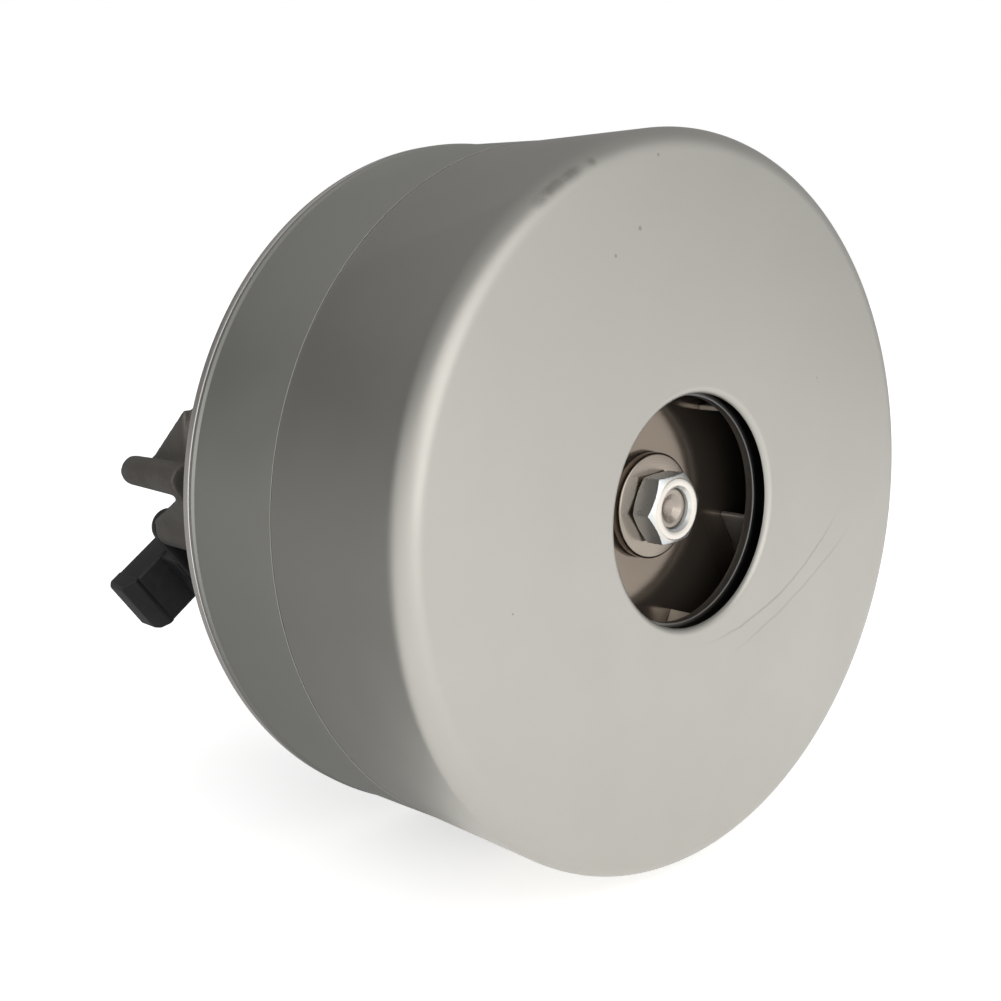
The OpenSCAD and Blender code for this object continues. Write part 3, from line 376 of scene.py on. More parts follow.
def lathe(outline, steps, wall=None):
    # wall gives the farthest radius at an angle, where the shape isn't round
    bm = bmesh.new()
    rings = []
    for k in range(steps):
        a = 2 * math.pi * k / steps
        limit = wall(a) if wall else math.inf
        rings.append([bm.verts.new((min(r, limit) * math.cos(a), min(r, limit) * math.sin(a), z))
                      for r, z in outline])
    count = len(outline)
    for k in range(steps):
        here, there = rings[k], rings[(k + 1) % steps]
        for i in range(count):
            j = (i + 1) % count
            if outline[i][0] > 1e-6 or outline[j][0] > 1e-6:
                bm.faces.new((here[i], there[i], there[j], here[j]))
    return meshOf(bm)


def plainRing(inner, outer, low, high, edges, steps):
    corners = ((inner, low), (outer, low), (outer, high), (inner, high))
    return lathe(rounded([(*corner, edge) for corner, edge in zip(corners, edges)]), steps)


def holder(mesh, name="maker"):
    made = bpy.data.objects.new(name, mesh)
    bpy.context.scene.collection.objects.link(made)
    return made


def asMesh(maker):
    graph = bpy.context.evaluated_depsgraph_get()
    mesh = bpy.data.meshes.new_from_object(maker.evaluated_get(graph))
    bpy.data.objects.remove(maker)
    return mesh


def cutSheet(loops, low, high, edge=0.0):
    # a flat sheet with holes, from closed outlines
    curve = bpy.data.curves.new("outline", "CURVE")
    curve.dimensions = "2D"
    curve.fill_mode = "BOTH"
    curve.extrude = (high - low) / 2 - edge
    curve.bevel_depth = edge
    curve.bevel_resolution = 1
    curve.offset = -edge
    for loop in loops:
        spline = curve.splines.new("POLY")
        spline.points.add(len(loop) - 1)
        for point, (x, y) in zip(spline.points, loop):
            point.co = (x, y, 0, 1)
        spline.use_cyclic_u = True
    mesh = asMesh(holder(curve))
    mesh.transform(Matrix.Translation((0, 0, (low + high) / 2)))
    bm = bmesh.new()
    bm.from_mesh(mesh)
    return meshOf(bm)


def boxBetween(low, high):
    bm = bmesh.new()
    bmesh.ops.create_cube(bm, size=1.0)
    for vert in bm.verts:
        vert.co = [low[k] + (vert.co[k] + 0.5) * (high[k] - low[k]) for k in range(3)]
    return bm


def bevelBox(low, high, bevel, cuts=3):
    bm = boxBetween(low, high)
    bmesh.ops.bevel(bm, geom=bm.edges[:], offset=bevel, segments=cuts, profile=0.5, affect="EDGES")
    return meshOf(bm)


def shaped(mesh, *steps):
    # the mesh that a row of modifiers makes
    maker = holder(mesh)
    for kind, settings in steps:
        modifier = maker.modifiers.new(kind.lower(), kind)
        for key, value in settings.items():
            setattr(modifier, key, value)
    return asMesh(maker)


def roundBevel(mesh, width, angle, cuts=2):
    # rounds the sharp edges of a mesh
    return shaped(mesh, ("BEVEL", {"width": width, "segments": cuts, "limit_method": "ANGLE",
                                   "angle_limit": math.radians(angle)}))


def carve(mesh, cutter):
    tool = holder(cutter, "cutter")
    made = shaped(mesh, ("BOOLEAN", {"operation": "DIFFERENCE", "object": tool, "solver": "EXACT"}))
    bpy.data.objects.remove(tool)
    return made


def joined(*meshes):
    bm = bmesh.new()
    for mesh in meshes:
        bm.from_mesh(mesh)
    return plainMesh(bm)


def turnedTo(mesh, angle):
    made = mesh.copy()
    made.transform(Matrix.Rotation(math.radians(angle), 4, "Z"))
    return made


def settle(name, mesh, slot, body="housing", nodes=(), look=None, sharp=35, inRow=False):
    if not inRow:
        mesh.transform(intoRow)
    mesh.polygons.foreach_set("use_smooth", [True] * len(mesh.polygons))
    mesh.set_sharp_from_angle(angle=math.radians(sharp))
    mesh.materials.clear()
    mesh.materials.append(finishes[look or slot])
    mesh.polygons.foreach_set("material_index", [0] * len(mesh.polygons))
    piece = holder(mesh, name)
    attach(piece, body)
    if nodes:
        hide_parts(*nodes)
    return piece


# node trees for what repeats or follows a path

def startTree(name, inputs):
    tree = bpy.data.node_groups.new(name, "GeometryNodeTree")
    for label, kind in [("Geometry", "NodeSocketGeometry"), *inputs, ("Material", "NodeSocketMaterial")]:
        tree.interface.new_socket(label, in_out="INPUT", socket_type=kind)
    tree.interface.new_socket("Geometry", in_out="OUTPUT", socket_type="NodeSocketGeometry")
    entry = tree.nodes.new("NodeGroupInput")
    return tree, {socket.name: Flow(tree, socket) for socket in entry.outputs if socket.name}


def endTree(tree, shape, entry):
    real = shape.node("GeometryNodeRealizeInstances", {}, {0: shape})
    done = real.node("GeometryNodeSetMaterial", {}, {"Geometry": real, "Material": entry["Material"]})
    leave = tree.nodes.new("NodeGroupOutput")
    tree.links.new(done.socket, leave.inputs[0])
    return tree


def ringOfCopies():
    tree, entry = startTree("ringOfCopies", [("Count", "NodeSocketInt"), ("Start", "NodeSocketFloat")])
    flow = Flow(tree)
    angle = flow.node("GeometryNodeInputIndex") * (2 * math.pi) / entry["Count"] + entry["Start"]
    spin = flow.node("ShaderNodeCombineXYZ", {}, {2: angle})
    turn = flow.node("FunctionNodeEulerToRotation", {}, {0: spin})
    dots = flow.node("GeometryNodePoints", {}, {"Count": entry["Count"]})
    return endTree(tree, flow.node("GeometryNodeInstanceOnPoints", {}, {
        "Points": dots, "Instance": entry["Geometry"], "Rotation": turn}), entry)


def stackOfCopies():
    tree, entry = startTree("stackOfCopies", [("Count", "NodeSocketInt"), ("Pitch", "NodeSocketFloat")])
    flow = Flow(tree)
    rise = flow.node("GeometryNodeInputIndex") * entry["Pitch"]
    spot = flow.node("ShaderNodeCombineXYZ", {}, {2: rise})
    dots = flow.node("GeometryNodePoints", {}, {"Count": entry["Count"], "Position": spot})
    return endTree(tree, flow.node("GeometryNodeInstanceOnPoints", {}, {
        "Points": dots, "Instance": entry["Geometry"]}), entry)


def wireAlongPath():
    tree, entry = startTree("wireAlongPath", [
        ("Radius", "NodeSocketFloat"), ("Sides", "NodeSocketInt"), ("Cuts", "NodeSocketInt")])
    flow = Flow(tree)
    path = flow.node("GeometryNodeMeshToCurve", {}, {0: entry["Geometry"]})
    soft = flow.node("GeometryNodeCurveSplineType", {"spline_type": "CATMULL_ROM"}, {0: path})
    even = flow.node("GeometryNodeSetSplineResolution", {}, {"Geometry": soft, "Resolution": entry["Cuts"]})
    section = flow.node("GeometryNodeCurvePrimitiveCircle", {}, {
        "Resolution": entry["Sides"], "Radius": entry["Radius"]})
    return endTree(tree, flow.node("GeometryNodeCurveToMesh", {}, {
        "Curve": even, "Profile Curve": section, "Fill Caps": True}), entry)


def copiesAtPlaces():
    tree, entry = startTree("copiesAtPlaces", [("Template", "NodeSocketObject")])
    flow = Flow(tree)
    shape = flow.node("GeometryNodeObjectInfo", {}, {"Object": entry["Template"]}, out="Geometry")
    return endTree(tree, flow.node("GeometryNodeInstanceOnPoints", {}, {
        "Points": entry["Geometry"], "Instance": shape}), entry)


trees = {"ring": ringOfCopies(), "stack": stackOfCopies(), "wire": wireAlongPath(), "places": copiesAtPlaces()}


def grow(treeName, mesh, look, sizes):
    maker = holder(mesh)
    tree = trees[treeName]
    modifier = maker.modifiers.new("nodes", "NODES")
    modifier.node_group = tree
    sizes = dict(sizes, Material=finishes[look])
    for item in tree.interface.items_tree:
        if item.in_out == "INPUT" and item.name in sizes:
            modifier[item.identifier] = sizes[item.name]
    return asMesh(maker)


def pathMesh(paths):
    points, edges = [], []
    for path in paths:
        first = len(points)
        points += [tuple(point) for point in path]
        edges += [(first + k, first + k + 1) for k in range(len(path) - 1)]
    mesh = bpy.data.meshes.new("path")
    mesh.from_pydata(points, edges, [])
    return mesh


def wire(paths, look, radius, sides, cuts):
    return grow("wire", pathMesh(paths), look, {"Radius": radius, "Sides": sides, "Cuts": cuts})


def ringOf(mesh, look, count, start=0.0):
    return grow("ring", mesh, look, {"Count": count, "Start": math.radians(start)})


def atPlaces(template, points, look):
    model = holder(template, "template")
    places = bpy.data.meshes.new("places")
    places.from_pydata(points, [], [])
    made = grow("places", places, look, {"Template": model})
    bpy.data.objects.remove(model)
    return made


def ringPoint(radius, angle, z):
    a = math.radians(angle)
    return Vector((radius * math.cos(a), radius * math.sin(a), z))


# fan case

frontShell = {"radius": 71.5, "sheet": 1.0, "corner": 4.5, "inlet": 22.6, "lipBend": 1.5, "lipTurn": 70,
              "lipSteps": 14, "end": 45.0, "steps": 320}


def makeFrontShell(size):
    r, t, end = size["radius"], size["sheet"], size["end"]
    bend, turn = size["lipBend"], math.radians(size["lipTurn"])
    middle = size["inlet"] + bend * math.sin(turn)
    angles = [turn * k / size["lipSteps"] for k in range(size["lipSteps"] + 1)]
    lip = [(middle - bend * math.sin(a), bend - bend * math.cos(a), 0) for a in angles]
    back = [(middle - (bend - t) * math.sin(a), bend - (bend - t) * math.cos(a), 0) for a in reversed(angles)]
    return lathe(rounded([(r, end, 0.3), (r, 0, size["corner"]), *lip, *back, (r - t, t, size["corner"] - t),
                          (r - t, end, 0.3)]), size["steps"])


rearBand = {"inner": 71.55, "thin": 0.1, "outer": 72.55, "front": 37.0, "end": 63.0, "edgeR": 72.95, "edgeW": 1.2,
            "steps": 320}


def makeRearBand(size):
    start = size["end"] - size["edgeW"]
    return lathe(rounded([
        (size["inner"], size["front"], 0), (size["inner"] + size["thin"], size["front"], 0.08),
        (size["outer"], start - 0.5, 0.4), (size["edgeR"], start + 0.1, 0.25),
        (size["edgeR"], size["end"], 0.3), (size["inner"], size["end"], 0.2)]), size["steps"])


settle("frontShell", makeFrontShell(frontShell), "shell_aluminium", nodes=["front_shell"])
settle("rearBand", makeRearBand(rearBand), "rear_aluminium", nodes=["rear_shell"])
print("fan case made")


# impeller in the inlet

impeller = {"eyeR": 22.0, "eyeZ": 3.4, "outR": 63.0, "sheet": 1.2, "depth": 9.2, "eyeRise": 1.0, "shroudRise": 1.6,
            "blades": 6, "bladeR": 24.0, "bladeT": 1.0, "sweep": 40.0, "bend": 92.0, "start": 10.0,
            "bladeGap": 1.0, "bladeSteps": 36, "plateBore": 5.05}


def shroudZ(size, r):
    return size["eyeRise"] + (r - size["eyeR"]) / (size["outR"] - size["eyeR"]) * size["shroudRise"]


def makeShroud(size):
    z, eye, out, t = size["eyeZ"], size["eyeR"], size["outR"], size["sheet"]
    return lathe(rounded([
        (eye, z, 0.25), (eye + t, z, 0.25), (eye + t, z + shroudZ(size, eye + t), 0.5),
        (out, z + shroudZ(size, out), 0.3), (out, z + shroudZ(size, out) + t, 0.3),
        (eye, z + shroudZ(size, eye) + t, 0.8)]), 256)


def makeBlade(size):
    start = Vector((size["bladeR"], 0))
    end = ringPoint(size["outR"] - size["bladeGap"], size["sweep"], 0).to_2d()
    chord = end - start
    centre = (start + end) / 2 + Vector((-chord.y, chord.x)).normalized() * math.sqrt(
        size["bend"] ** 2 - chord.length_squared / 4)
    first = math.atan2(*(start - centre).yx)
    turn = math.remainder(math.atan2(*(end - centre).yx) - first, 2 * math.pi)
    bm = bmesh.new()
    rows = []
    for k in range(size["bladeSteps"] + 1):
        a = first + turn * k / size["bladeSteps"]
        out = Vector((math.cos(a), math.sin(a)))
        top = shroudZ(size, (centre + out * size["bend"]).length) + size["sheet"]
        row = []
        for side, z in ((-1, top), (1, top), (1, size["depth"]), (-1, size["depth"])):
            spot = centre + out * (size["bend"] + side * size["bladeT"] / 2)
            row.append(bm.verts.new((spot.x, spot.y, size["eyeZ"] + z)))
        rows.append(row)
    skin(bm, rows)
    bm.faces.new(rows[0])
    bm.faces.new(rows[-1][::-1])
    return roundBevel(meshOf(bm), 0.18, 50)


def makePlate(size):
    z = size["eyeZ"] + size["depth"]
    return plainRing(size["plateBore"], size["outR"], z, z + size["sheet"], (0.1, 0.3, 0.3, 0.1), 256)


settle("impellerShroud", makeShroud(impeller), "impeller_aluminium", "rotor", ["impeller_1_shroud"], "dull_sheet")
blades = ringOf(makeBlade(impeller), "impeller_aluminium", impeller["blades"], impeller["start"])
settle("impellerBlades", blades, "impeller_aluminium", "rotor", ["impeller_1_blades"], "blade_sheet")
settle("impellerPlate", makePlate(impeller), "impeller_aluminium", "rotor", ["impeller_1_plate"])

nut = {"flats": 13.0, "height": 5.6, "front": 4.8, "bore": 4.05, "ring": 6.0, "sink": 0.55, "slope": 0.085,
       "turn": 6, "steps": 192}


def makeNut(size):
    # the flats are a six-sided wall cut by the chamfer of a turned blank, so each flat ends in an arc
    front, end, half = size["front"], size["front"] + size["height"], size["flats"] / 2
    corner = half / math.cos(math.pi / 6)
    profile = [(size["bore"] + size["sink"], front + 0.12), (size["bore"] + size["sink"] + 0.35, front),
               (size["ring"] - 0.45, front), (size["ring"] - 0.1, front + 0.08)]
    profile += [(size["ring"] + k * (corner - size["ring"]) / 10, front + 0.2 + k * size["slope"]) for k in range(11)]
    profile += [(corner + 1, front + 1.4), (corner + 1, end - 1.2)]
    profile += [(corner - k * (corner - size["ring"]) / 8, end - 0.75 + k * size["slope"]) for k in range(9)]
    profile += [(size["bore"], end), (size["bore"], front + size["sink"] + 0.25)]

    def wall(a):
        return half / math.cos((a + math.radians(size["turn"])) % (math.pi / 3) - math.pi / 6)

    return lathe(profile, size["steps"], wall)


washer = {"inner": 4.05, "outer": 10.5, "front": 10.4, "back": 12.6}


def makeWasher(size):
    return plainRing(size["inner"], size["outer"], size["front"], size["back"], (0.2, 0.55, 0.4, 0.2), 160)


shaft = {"tip": 6.2, "dimple": 1.5, "dimpleR": 2.9, "threadR": 4.0, "seat": 12.6, "seatR": 5.0, "bearing": 57.5,
         "bodyR": 6.0, "collar": 67.5, "collarR": 7.6, "collarW": 2.5, "rearHub": 149.6, "rearR": 4.0, "rear": 151.1,
         "end": 159.1}


def makeShaft(size):
    tip, r, collar = size["tip"], size["bodyR"], size["collar"]
    collarEnd = collar + size["collarW"]
    return lathe(rounded([
        (0, tip + size["dimple"], 0), (1.6, tip + 1.0, 1.2), (size["dimpleR"], tip + 0.1, 0.5),
        (size["threadR"], tip, 0.4), (size["threadR"], size["seat"], 0), (size["seatR"], size["seat"], 0.2),
        (size["seatR"], size["bearing"], 0), (r, size["bearing"], 0.2), (r, collar, 0),
        (size["collarR"], collar, 0.2), (size["collarR"], collarEnd, 0.2), (r, collarEnd, 0), (r, size["rearHub"], 0.2),
        (size["rearR"], size["rear"], 0), (size["rearR"], size["end"], 0.5), (0, size["end"], 0)]), 96)


settle("impellerNut", makeNut(nut), "zinc_steel", "rotor", ["impeller_nut"], sharp=24)
settle("frontWasher", makeWasher(washer), "zinc_steel", "rotor", ["front_washer"], "washer_steel")
# the shaft takes the tip's painted shade and reflection colour
settle("shaft", makeShaft(shaft), "shaft_steel", "rotor", ["shaft"], "tip_steel")
print("impeller, nut and shaft made")


# front bracket behind the case

fanBracket = {"front": 63.0, "webEnd": 66.2, "rimR": 72.9, "rimEnd": 65.4, "rimW": 6.0, "webR": 67.9, "windows": 6,
              "inner": 21.5, "outer": 34.1, "spoke": 6.0, "hubR": 19.5, "hubFront": 53.5, "hubEnd": 69.0,
              "bearingR": 16.0, "bearingZ": 57.5, "tieR": 40.5, "pillarR": 3.8, "footR": 5.8, "pillarEnd": 80.0,
              "boreR": 2.1, "boreDepth": 3.0, "windowCorner": 1.6}
tieAngles = [poleAngle - 22.5, poleAngle + 22.5, poleAngle + 157.5, poleAngle + 202.5]


def windowLoop(size, number):
    middle = poleAngle + (number + 0.5) * 360 / size["windows"]
    span = 180 / size["windows"]
    loop = []
    for radius, way in ((size["outer"], 1), (size["inner"], -1)):
        reach = span - math.degrees(math.asin(size["spoke"] / 2 / radius))
        for k in range(13):
            spot = ringPoint(radius, middle + way * reach * (k / 6 - 1), 0)
            loop.append((spot.x, spot.y, size["windowCorner"] if k in (0, 12) else 0))
    return rounded(loop)


def makeWeb(size):
    loops = [circle(size["webR"], 200), circle(size["bearingR"] + 1, 96)]
    loops += [windowLoop(size, k) for k in range(size["windows"])]
    web = cutSheet(loops, size["front"] + 0.2, size["webEnd"], 0.35)
    r, seat, end = size["hubR"], size["bearingR"], size["webEnd"]
    hub = lathe(rounded([
        (seat - 4, size["hubFront"], 0.3), (r, size["hubFront"], 0.8), (r, end, 0), (r, size["hubEnd"], 0.9),
        (seat, size["hubEnd"], 0.4), (seat, size["bearingZ"], 0.1), (seat - 4, size["bearingZ"], 0.2)]), 128)
    fillet = lathe(rounded([
        (r - 1, end - 1, 0), (r + 2, end - 1, 0), (r + 1.6, end, 0), (r, end, 1.3), (r, end + 1.6, 0),
        (r - 1, end + 1.6, 0)]), 128)
    return joined(web, hub, fillet)


def makePillar(size):
    foot, end = size["webEnd"] + 2, size["pillarEnd"]
    floor = end - size["boreDepth"]
    return lathe(rounded([
        (0, size["front"] + 1, 0), (size["footR"] + 0.5, size["front"] + 1, 0), (size["footR"], foot, 0.6),
        (size["pillarR"] + 0.5, foot, 0.9), (size["pillarR"], end, 0.3), (size["boreR"], end, 0.2),
        (size["boreR"], floor, 0), (0, floor, 0)]), 64)


def makeRim(size):
    return plainRing(size["rimR"] - size["rimW"], size["rimR"], size["front"] + 0.06, size["rimEnd"],
                     (0.2, 0.3, 0.8, 0.3), 320)


tieSpots = [ringPoint(fanBracket["tieR"], a, 0) for a in tieAngles]
pillars = atPlaces(makePillar(fanBracket), tieSpots, "cast_aluminium")
settle("fanBracket", joined(makeWeb(fanBracket), pillars), "cast_aluminium", nodes=["fan_bracket"])
settle("bracketRim", makeRim(fanBracket), "cast_aluminium", look="turned_rim")
print("front bracket made")


# stator and field coils

stator = {"outer": 44.0, "yoke": 37.0, "shoe": 29.8, "bore": 26.5, "neck": 27.0, "shoeAngle": 116.0, "front": 80.0,
          "sheets": 38, "pitch": sheetPitch, "sheetT": 0.67, "screwR": 2.25}


def arcPoints(radius, start, end, count):
    return [tuple(ringPoint(radius, start + (end - start) * k / count, 0).to_2d()) for k in range(count + 1)]


def makeLamination(size):
    tip = size["shoeAngle"] / 2
    atShoe = math.degrees(math.asin(size["neck"] / 2 / size["shoe"]))
    atYoke = math.degrees(math.asin(size["neck"] / 2 / size["yoke"]))
    inner = []
    for turn in (0, 180):
        inner += arcPoints(size["bore"], turn - tip, turn + tip, 40)
        inner += arcPoints(size["shoe"], turn + tip, turn + atShoe, 14)
        inner += arcPoints(size["yoke"], turn + atYoke, turn + 180 - atYoke, 40)
        inner += arcPoints(size["shoe"], turn + 180 - atShoe, turn + 180 - tip, 14)
    holes = []
    for a in tieAngles:
        spot = ringPoint(fanBracket["tieR"], a - poleAngle, 0)
        holes.append(circle(size["screwR"], 14, spot.x, spot.y))
    sheet = cutSheet([circle(size["outer"], 160), inner, *holes], size["front"], size["front"] + size["sheetT"])
    return turnedTo(sheet, poleAngle)


settle("statorStack", grow("stack", makeLamination(stator), "lamination", {
    "Count": stator["sheets"], "Pitch": stator["pitch"]}), "lamination", nodes=["stator_core"])

coil = {"wire": 0.8, "rows": 7, "layers": 10, "firstR": 30.65, "rowStep": 0.9, "angle": 57.0, "angleStep": 2.7,
        "half": 22.8, "layerStep": 0.79, "middle": 94.25, "corner": 7.0, "cornerStep": 0.45,
        "cornerLeast": 2.0, "loop": 30, "crossing": 0.2, "shake": 0.07, "seed": 7}


def coilSpot(size, row, layer, share):
    # a place on one turn: a rounded loop around the pole, wrapped on the cylinder of its row
    r = size["firstR"] + size["rowStep"] * row
    wide = math.radians(size["angle"] - size["angleStep"] * layer) * r
    tall = size["half"] - size["layerStep"] * layer
    c = max(size["cornerLeast"], size["corner"] - size["cornerStep"] * layer)
    pieces = [2 * (wide - c), c * math.pi / 2, 2 * (tall - c), c * math.pi / 2] * 2
    travel = share * sum(pieces)
    corners = ((1, 1), (1, -1), (-1, -1), (-1, 1))
    for number, length in enumerate(pieces):
        if travel <= length or number == 7:
            break
        travel -= length
    part = travel / length
    if number % 2 == 0:
        spots = {0: (-(wide - c), tall, wide - c, tall), 2: (wide, tall - c, wide, c - tall),
                 4: (wide - c, -tall, c - wide, -tall), 6: (-wide, c - tall, -wide, tall - c)}[number]
        across, along = spots[0] + (spots[2] - spots[0]) * part, spots[1] + (spots[3] - spots[1]) * part
    else:
        sx, sz = corners[number // 2]
        a = math.radians((90, 0, -90, -180)[number // 2] - 90 * part)
        across, along = sx * (wide - c) + c * math.cos(a), sz * (tall - c) + c * math.sin(a)
    return ringPoint(r, math.degrees(across / r), size["middle"] + along)


def coilPath(size, turn):
    rng = random.Random(size["seed"])
    places = [(row, layer) for layer in range(size["layers"])
              for row in (range(size["rows"]) if layer % 2 == 0 else reversed(range(size["rows"])))]
    spin = Matrix.Rotation(math.radians(poleAngle + turn), 3, "Z")
    path = []
    for now, then in zip(places, places[1:] + places[-1:]):
        for k in range(size["loop"]):
            share = k / size["loop"]
            step = max(0.0, 1 - (1 - share) / size["crossing"])
            row, layer = now[0] + (then[0] - now[0]) * step, now[1] + (then[1] - now[1]) * step
            row = min(max(row + rng.uniform(-size["shake"], size["shake"]), 0), size["rows"] - 1)
            path.append(spin @ coilSpot(size, row, layer, share))
    return path


lacing = {"angles": (-34, -12, 12, 34), "inner": 30.1, "outer": 36.7, "near": 15.05, "far": 23.25, "cord": 0.42,
          "turns": 3, "lean": 1.1}


def lacingPaths(size, turn):
    paths = []
    for end in (1, -1):
        for angle in size["angles"]:
            path = []
            for k in range(size["turns"] * 4 + 1):
                r, z = ((size["inner"], size["near"]), (size["outer"], size["near"]),
                        (size["outer"], size["far"]), (size["inner"], size["far"]))[k % 4]
                lean = angle + (k / 4 - size["turns"] / 2) * size["lean"]
                path.append(ringPoint(r, poleAngle + turn + lean, coil["middle"] + end * z))
            paths.append(path)
    return paths


for letter, turn in pairSides:
    winding = wire([coilPath(coil, turn)], "enamelled_copper", coil["wire"] / 2, 7, 2)
    settle("fieldWinding_" + letter, winding, "enamelled_copper",
           nodes=["field_winding_" + letter, "field_coil_" + letter])
    ties = wire(lacingPaths(lacing, turn), "cord", lacing["cord"], 6, 4)
    settle("coilLacing_" + letter, ties, None, look="cord")

liner = {"gap": 0.35, "lap": 0.4, "front": 77.4, "back": 111.1, "sheet": 0.3}


def makeLiners(size):
    # folded paper along the yoke and the neck of each slot
    bm = bmesh.new()
    for turn in (0, 180):
        neck = stator["neck"] / 2 + size["gap"]
        r = stator["yoke"] - size["gap"]
        a = math.degrees(math.asin(neck / r))
        reach = stator["shoe"] + size["lap"]
        line = [(reach, neck)] + arcPoints(r, a, 180 - a, 36) + [(-reach, neck)]
        rows = [[bm.verts.new((x, y, z)) for x, y in line] for z in (size["front"], size["back"])]
        skin(bm, rows, False)
        spin = Matrix.Rotation(math.radians(turn), 3, "Z")
        bmesh.ops.rotate(bm, verts=rows[0] + rows[1], cent=(0, 0, 0), matrix=spin)
    folded = shaped(meshOf(bm), ("SOLIDIFY", {"thickness": size["sheet"], "offset": 0}))
    return turnedTo(folded, poleAngle)


settle("slotLiners", makeLiners(liner), None, look="paper")
print("stator and coils made")


# armature and commutator

armature = {"slots": 24, "span": 9, "strands": 6, "wire": 0.62, "slotR": 20.6, "front": 80.0, "back": 108.5,
            "rise": 7.4, "bulge": 1.9, "sag": 3.6, "shake": 0.1, "wander": 0.6, "seed": 11, "start": 7.5,
            "coreR": 21.2, "headR": 17.5, "rearR": 17.0, "boreR": 8.0, "over": 6.5, "shoulder": 2.5, "neckR": 15.0,
            "neckIn": 11.0, "neckEnd": 120.4}
# the wire ends that run to one bar, as radius, angle and depth
tails = [[(19.0, 4, 114.6), (18.4, 2.6, 116.8), (17.2, 1.2, 118.6), (16.2, 0.3, 120.2), (15.5, 0, 121.6),
          (15.3, 0, 123.2)],
         [(19.2, -6, 114.2), (18.3, -3.4, 116.9), (17.0, -1.6, 118.9), (15.6, -0.2, 120.9), (14.9, 0, 122.6)]]


def headPaths(size, end, way):
    rng = random.Random(size["seed"] + (end > size["front"]))
    pitch = 360 / size["slots"]
    paths = []
    for strand in range(size["strands"]):
        level = (strand + 0.5) / size["strands"]
        path = []
        for k in range(13):
            t = k / 12
            swell = math.sin(math.pi * t)
            r = size["slotR"] + size["bulge"] * swell * (1 - level) - size["sag"] * swell * level
            r += rng.uniform(-size["shake"], size["shake"])
            z = end + way * (0.2 + size["rise"] * (0.32 + 0.68 * level) * swell ** 0.55 * (0.9 + 0.1 * level))
            stray = rng.uniform(-size["wander"], size["wander"])
            path.append(ringPoint(r, pitch * size["span"] * t + stray, z))
        paths.append(path)
    return paths


binding = {"radius": 18.1, "start": 115.6, "turns": 5, "cord": 0.45, "taper": 0.26, "pitch": 0.86, "steps": 24}


def bindingPath(size):
    steps = size["steps"]
    return [ringPoint(size["radius"] - size["taper"] * k / steps, 360 * k / steps,
                      size["start"] + size["pitch"] * k / steps) for k in range(steps * size["turns"] + 1)]


def makeArmature(size):
    thin = size["wire"] / 2
    coils = [wire(headPaths(size, end, way), "armature_copper", thin, 6, 2)
             for end, way in ((size["front"] + 0.5, -1), (size["back"] - 0.5, 1))]
    ends = wire([[ringPoint(*spot) for spot in tail] for tail in tails], "armature_copper", thin, 6, 2)
    heads = ringOf(joined(*coils, ends), "armature_copper", size["slots"], size["start"])
    r, front, back, over, shoulder = size["coreR"], size["front"], size["back"], size["over"], size["shoulder"]
    core = lathe(rounded([
        (size["boreR"], front - over, 1), (size["headR"], front - over, 2), (r, front - shoulder, 1.5),
        (r, front + 1, 0), (r, back - 1, 0), (r, back + shoulder, 1.5), (size["rearR"], back + over, 1.5),
        (size["neckR"], size["neckEnd"], 0.5), (size["neckIn"], size["neckEnd"], 0.5),
        (size["boreR"], back + 6, 1)]), 96)
    return joined(core, heads)


settle("armatureWinding", makeArmature(armature), "armature_copper", "rotor", ["armature_winding"], sharp=60)
settle("windingBand", wire([bindingPath(binding)], "cord", binding["cord"], 8, 1), None, "rotor", look="cord")

commutator = {"bars": 24, "gap": 0.5, "radius": 14.0, "inner": 10.5, "riserR": 16.0, "front": 121.0, "step": 124.0,
              "back": 146.6, "notch": 12.0, "hubBore": 6.05, "hubR": 10.45, "hubFront": 122.0, "hubBack": 147.0}


def makeBar(size):
    outline = rounded([
        (size["notch"], size["front"], 0.2), (size["riserR"], size["front"], 0.3),
        (size["riserR"], size["step"], 0.35), (size["radius"], size["step"], 0.6),
        (size["radius"], size["back"], 0.4), (size["inner"], size["back"], 0.2),
        (size["inner"], size["step"] - 0.5, 0), (size["notch"], size["step"] - 0.5, 0)])
    bm = bmesh.new()
    rows = []
    for k in range(5):
        row = []
        for r, z in outline:
            half = 180 / size["bars"] - math.degrees(math.asin(size["gap"] / 2 / r))
            row.append(bm.verts.new(ringPoint(r, half * (k / 2 - 1), z)))
        rows.append(row)
    skin(bm, rows)
    bm.faces.new(rows[0][::-1])
    bm.faces.new(rows[-1])
    return roundBevel(meshOf(bm), 0.1, 60, 1)


def makeHub(size):
    return plainRing(size["hubBore"], size["hubR"], size["hubFront"], size["hubBack"], (0.3, 0.3, 0.6, 0.4), 96)


bars = ringOf(makeBar(commutator), "bare_copper", commutator["bars"])
settle("commutatorBars", bars, "bare_copper", "rotor", ["commutator_bars"])
settle("commutatorHub", makeHub(commutator), "brown_resin", "rotor", ["commutator_hub"])
print("armature and commutator made")


# rear bracket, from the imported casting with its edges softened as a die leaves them

casting = {"voxel": 0.00055, "soften": 0.5, "passes": 7,
           "armFace": [(39.7, 133.9), (27.3, 155.0), (44.0, 155.0), (44.0, 133.9)]}


def makeCasting(size):
    bm = bmesh.new()
    bm.from_mesh(frame["nodes"]["commutator_bracket"].data)
    bmesh.ops.remove_doubles(bm, verts=bm.verts, dist=1e-6)
    trim = lathe(size["armFace"], 96)  # the arms lean in a little more towards the hub
    trim.transform(intoRow)
    return shaped(carve(plainMesh(bm), trim), ("REMESH", {"mode": "VOXEL", "voxel_size": size["voxel"]}),
                  ("SMOOTH", {"factor": size["soften"], "iterations": size["passes"]}))


settle("rearBracket", makeCasting(casting), "cast_aluminium", nodes=["commutator_bracket"], sharp=80, inRow=True)

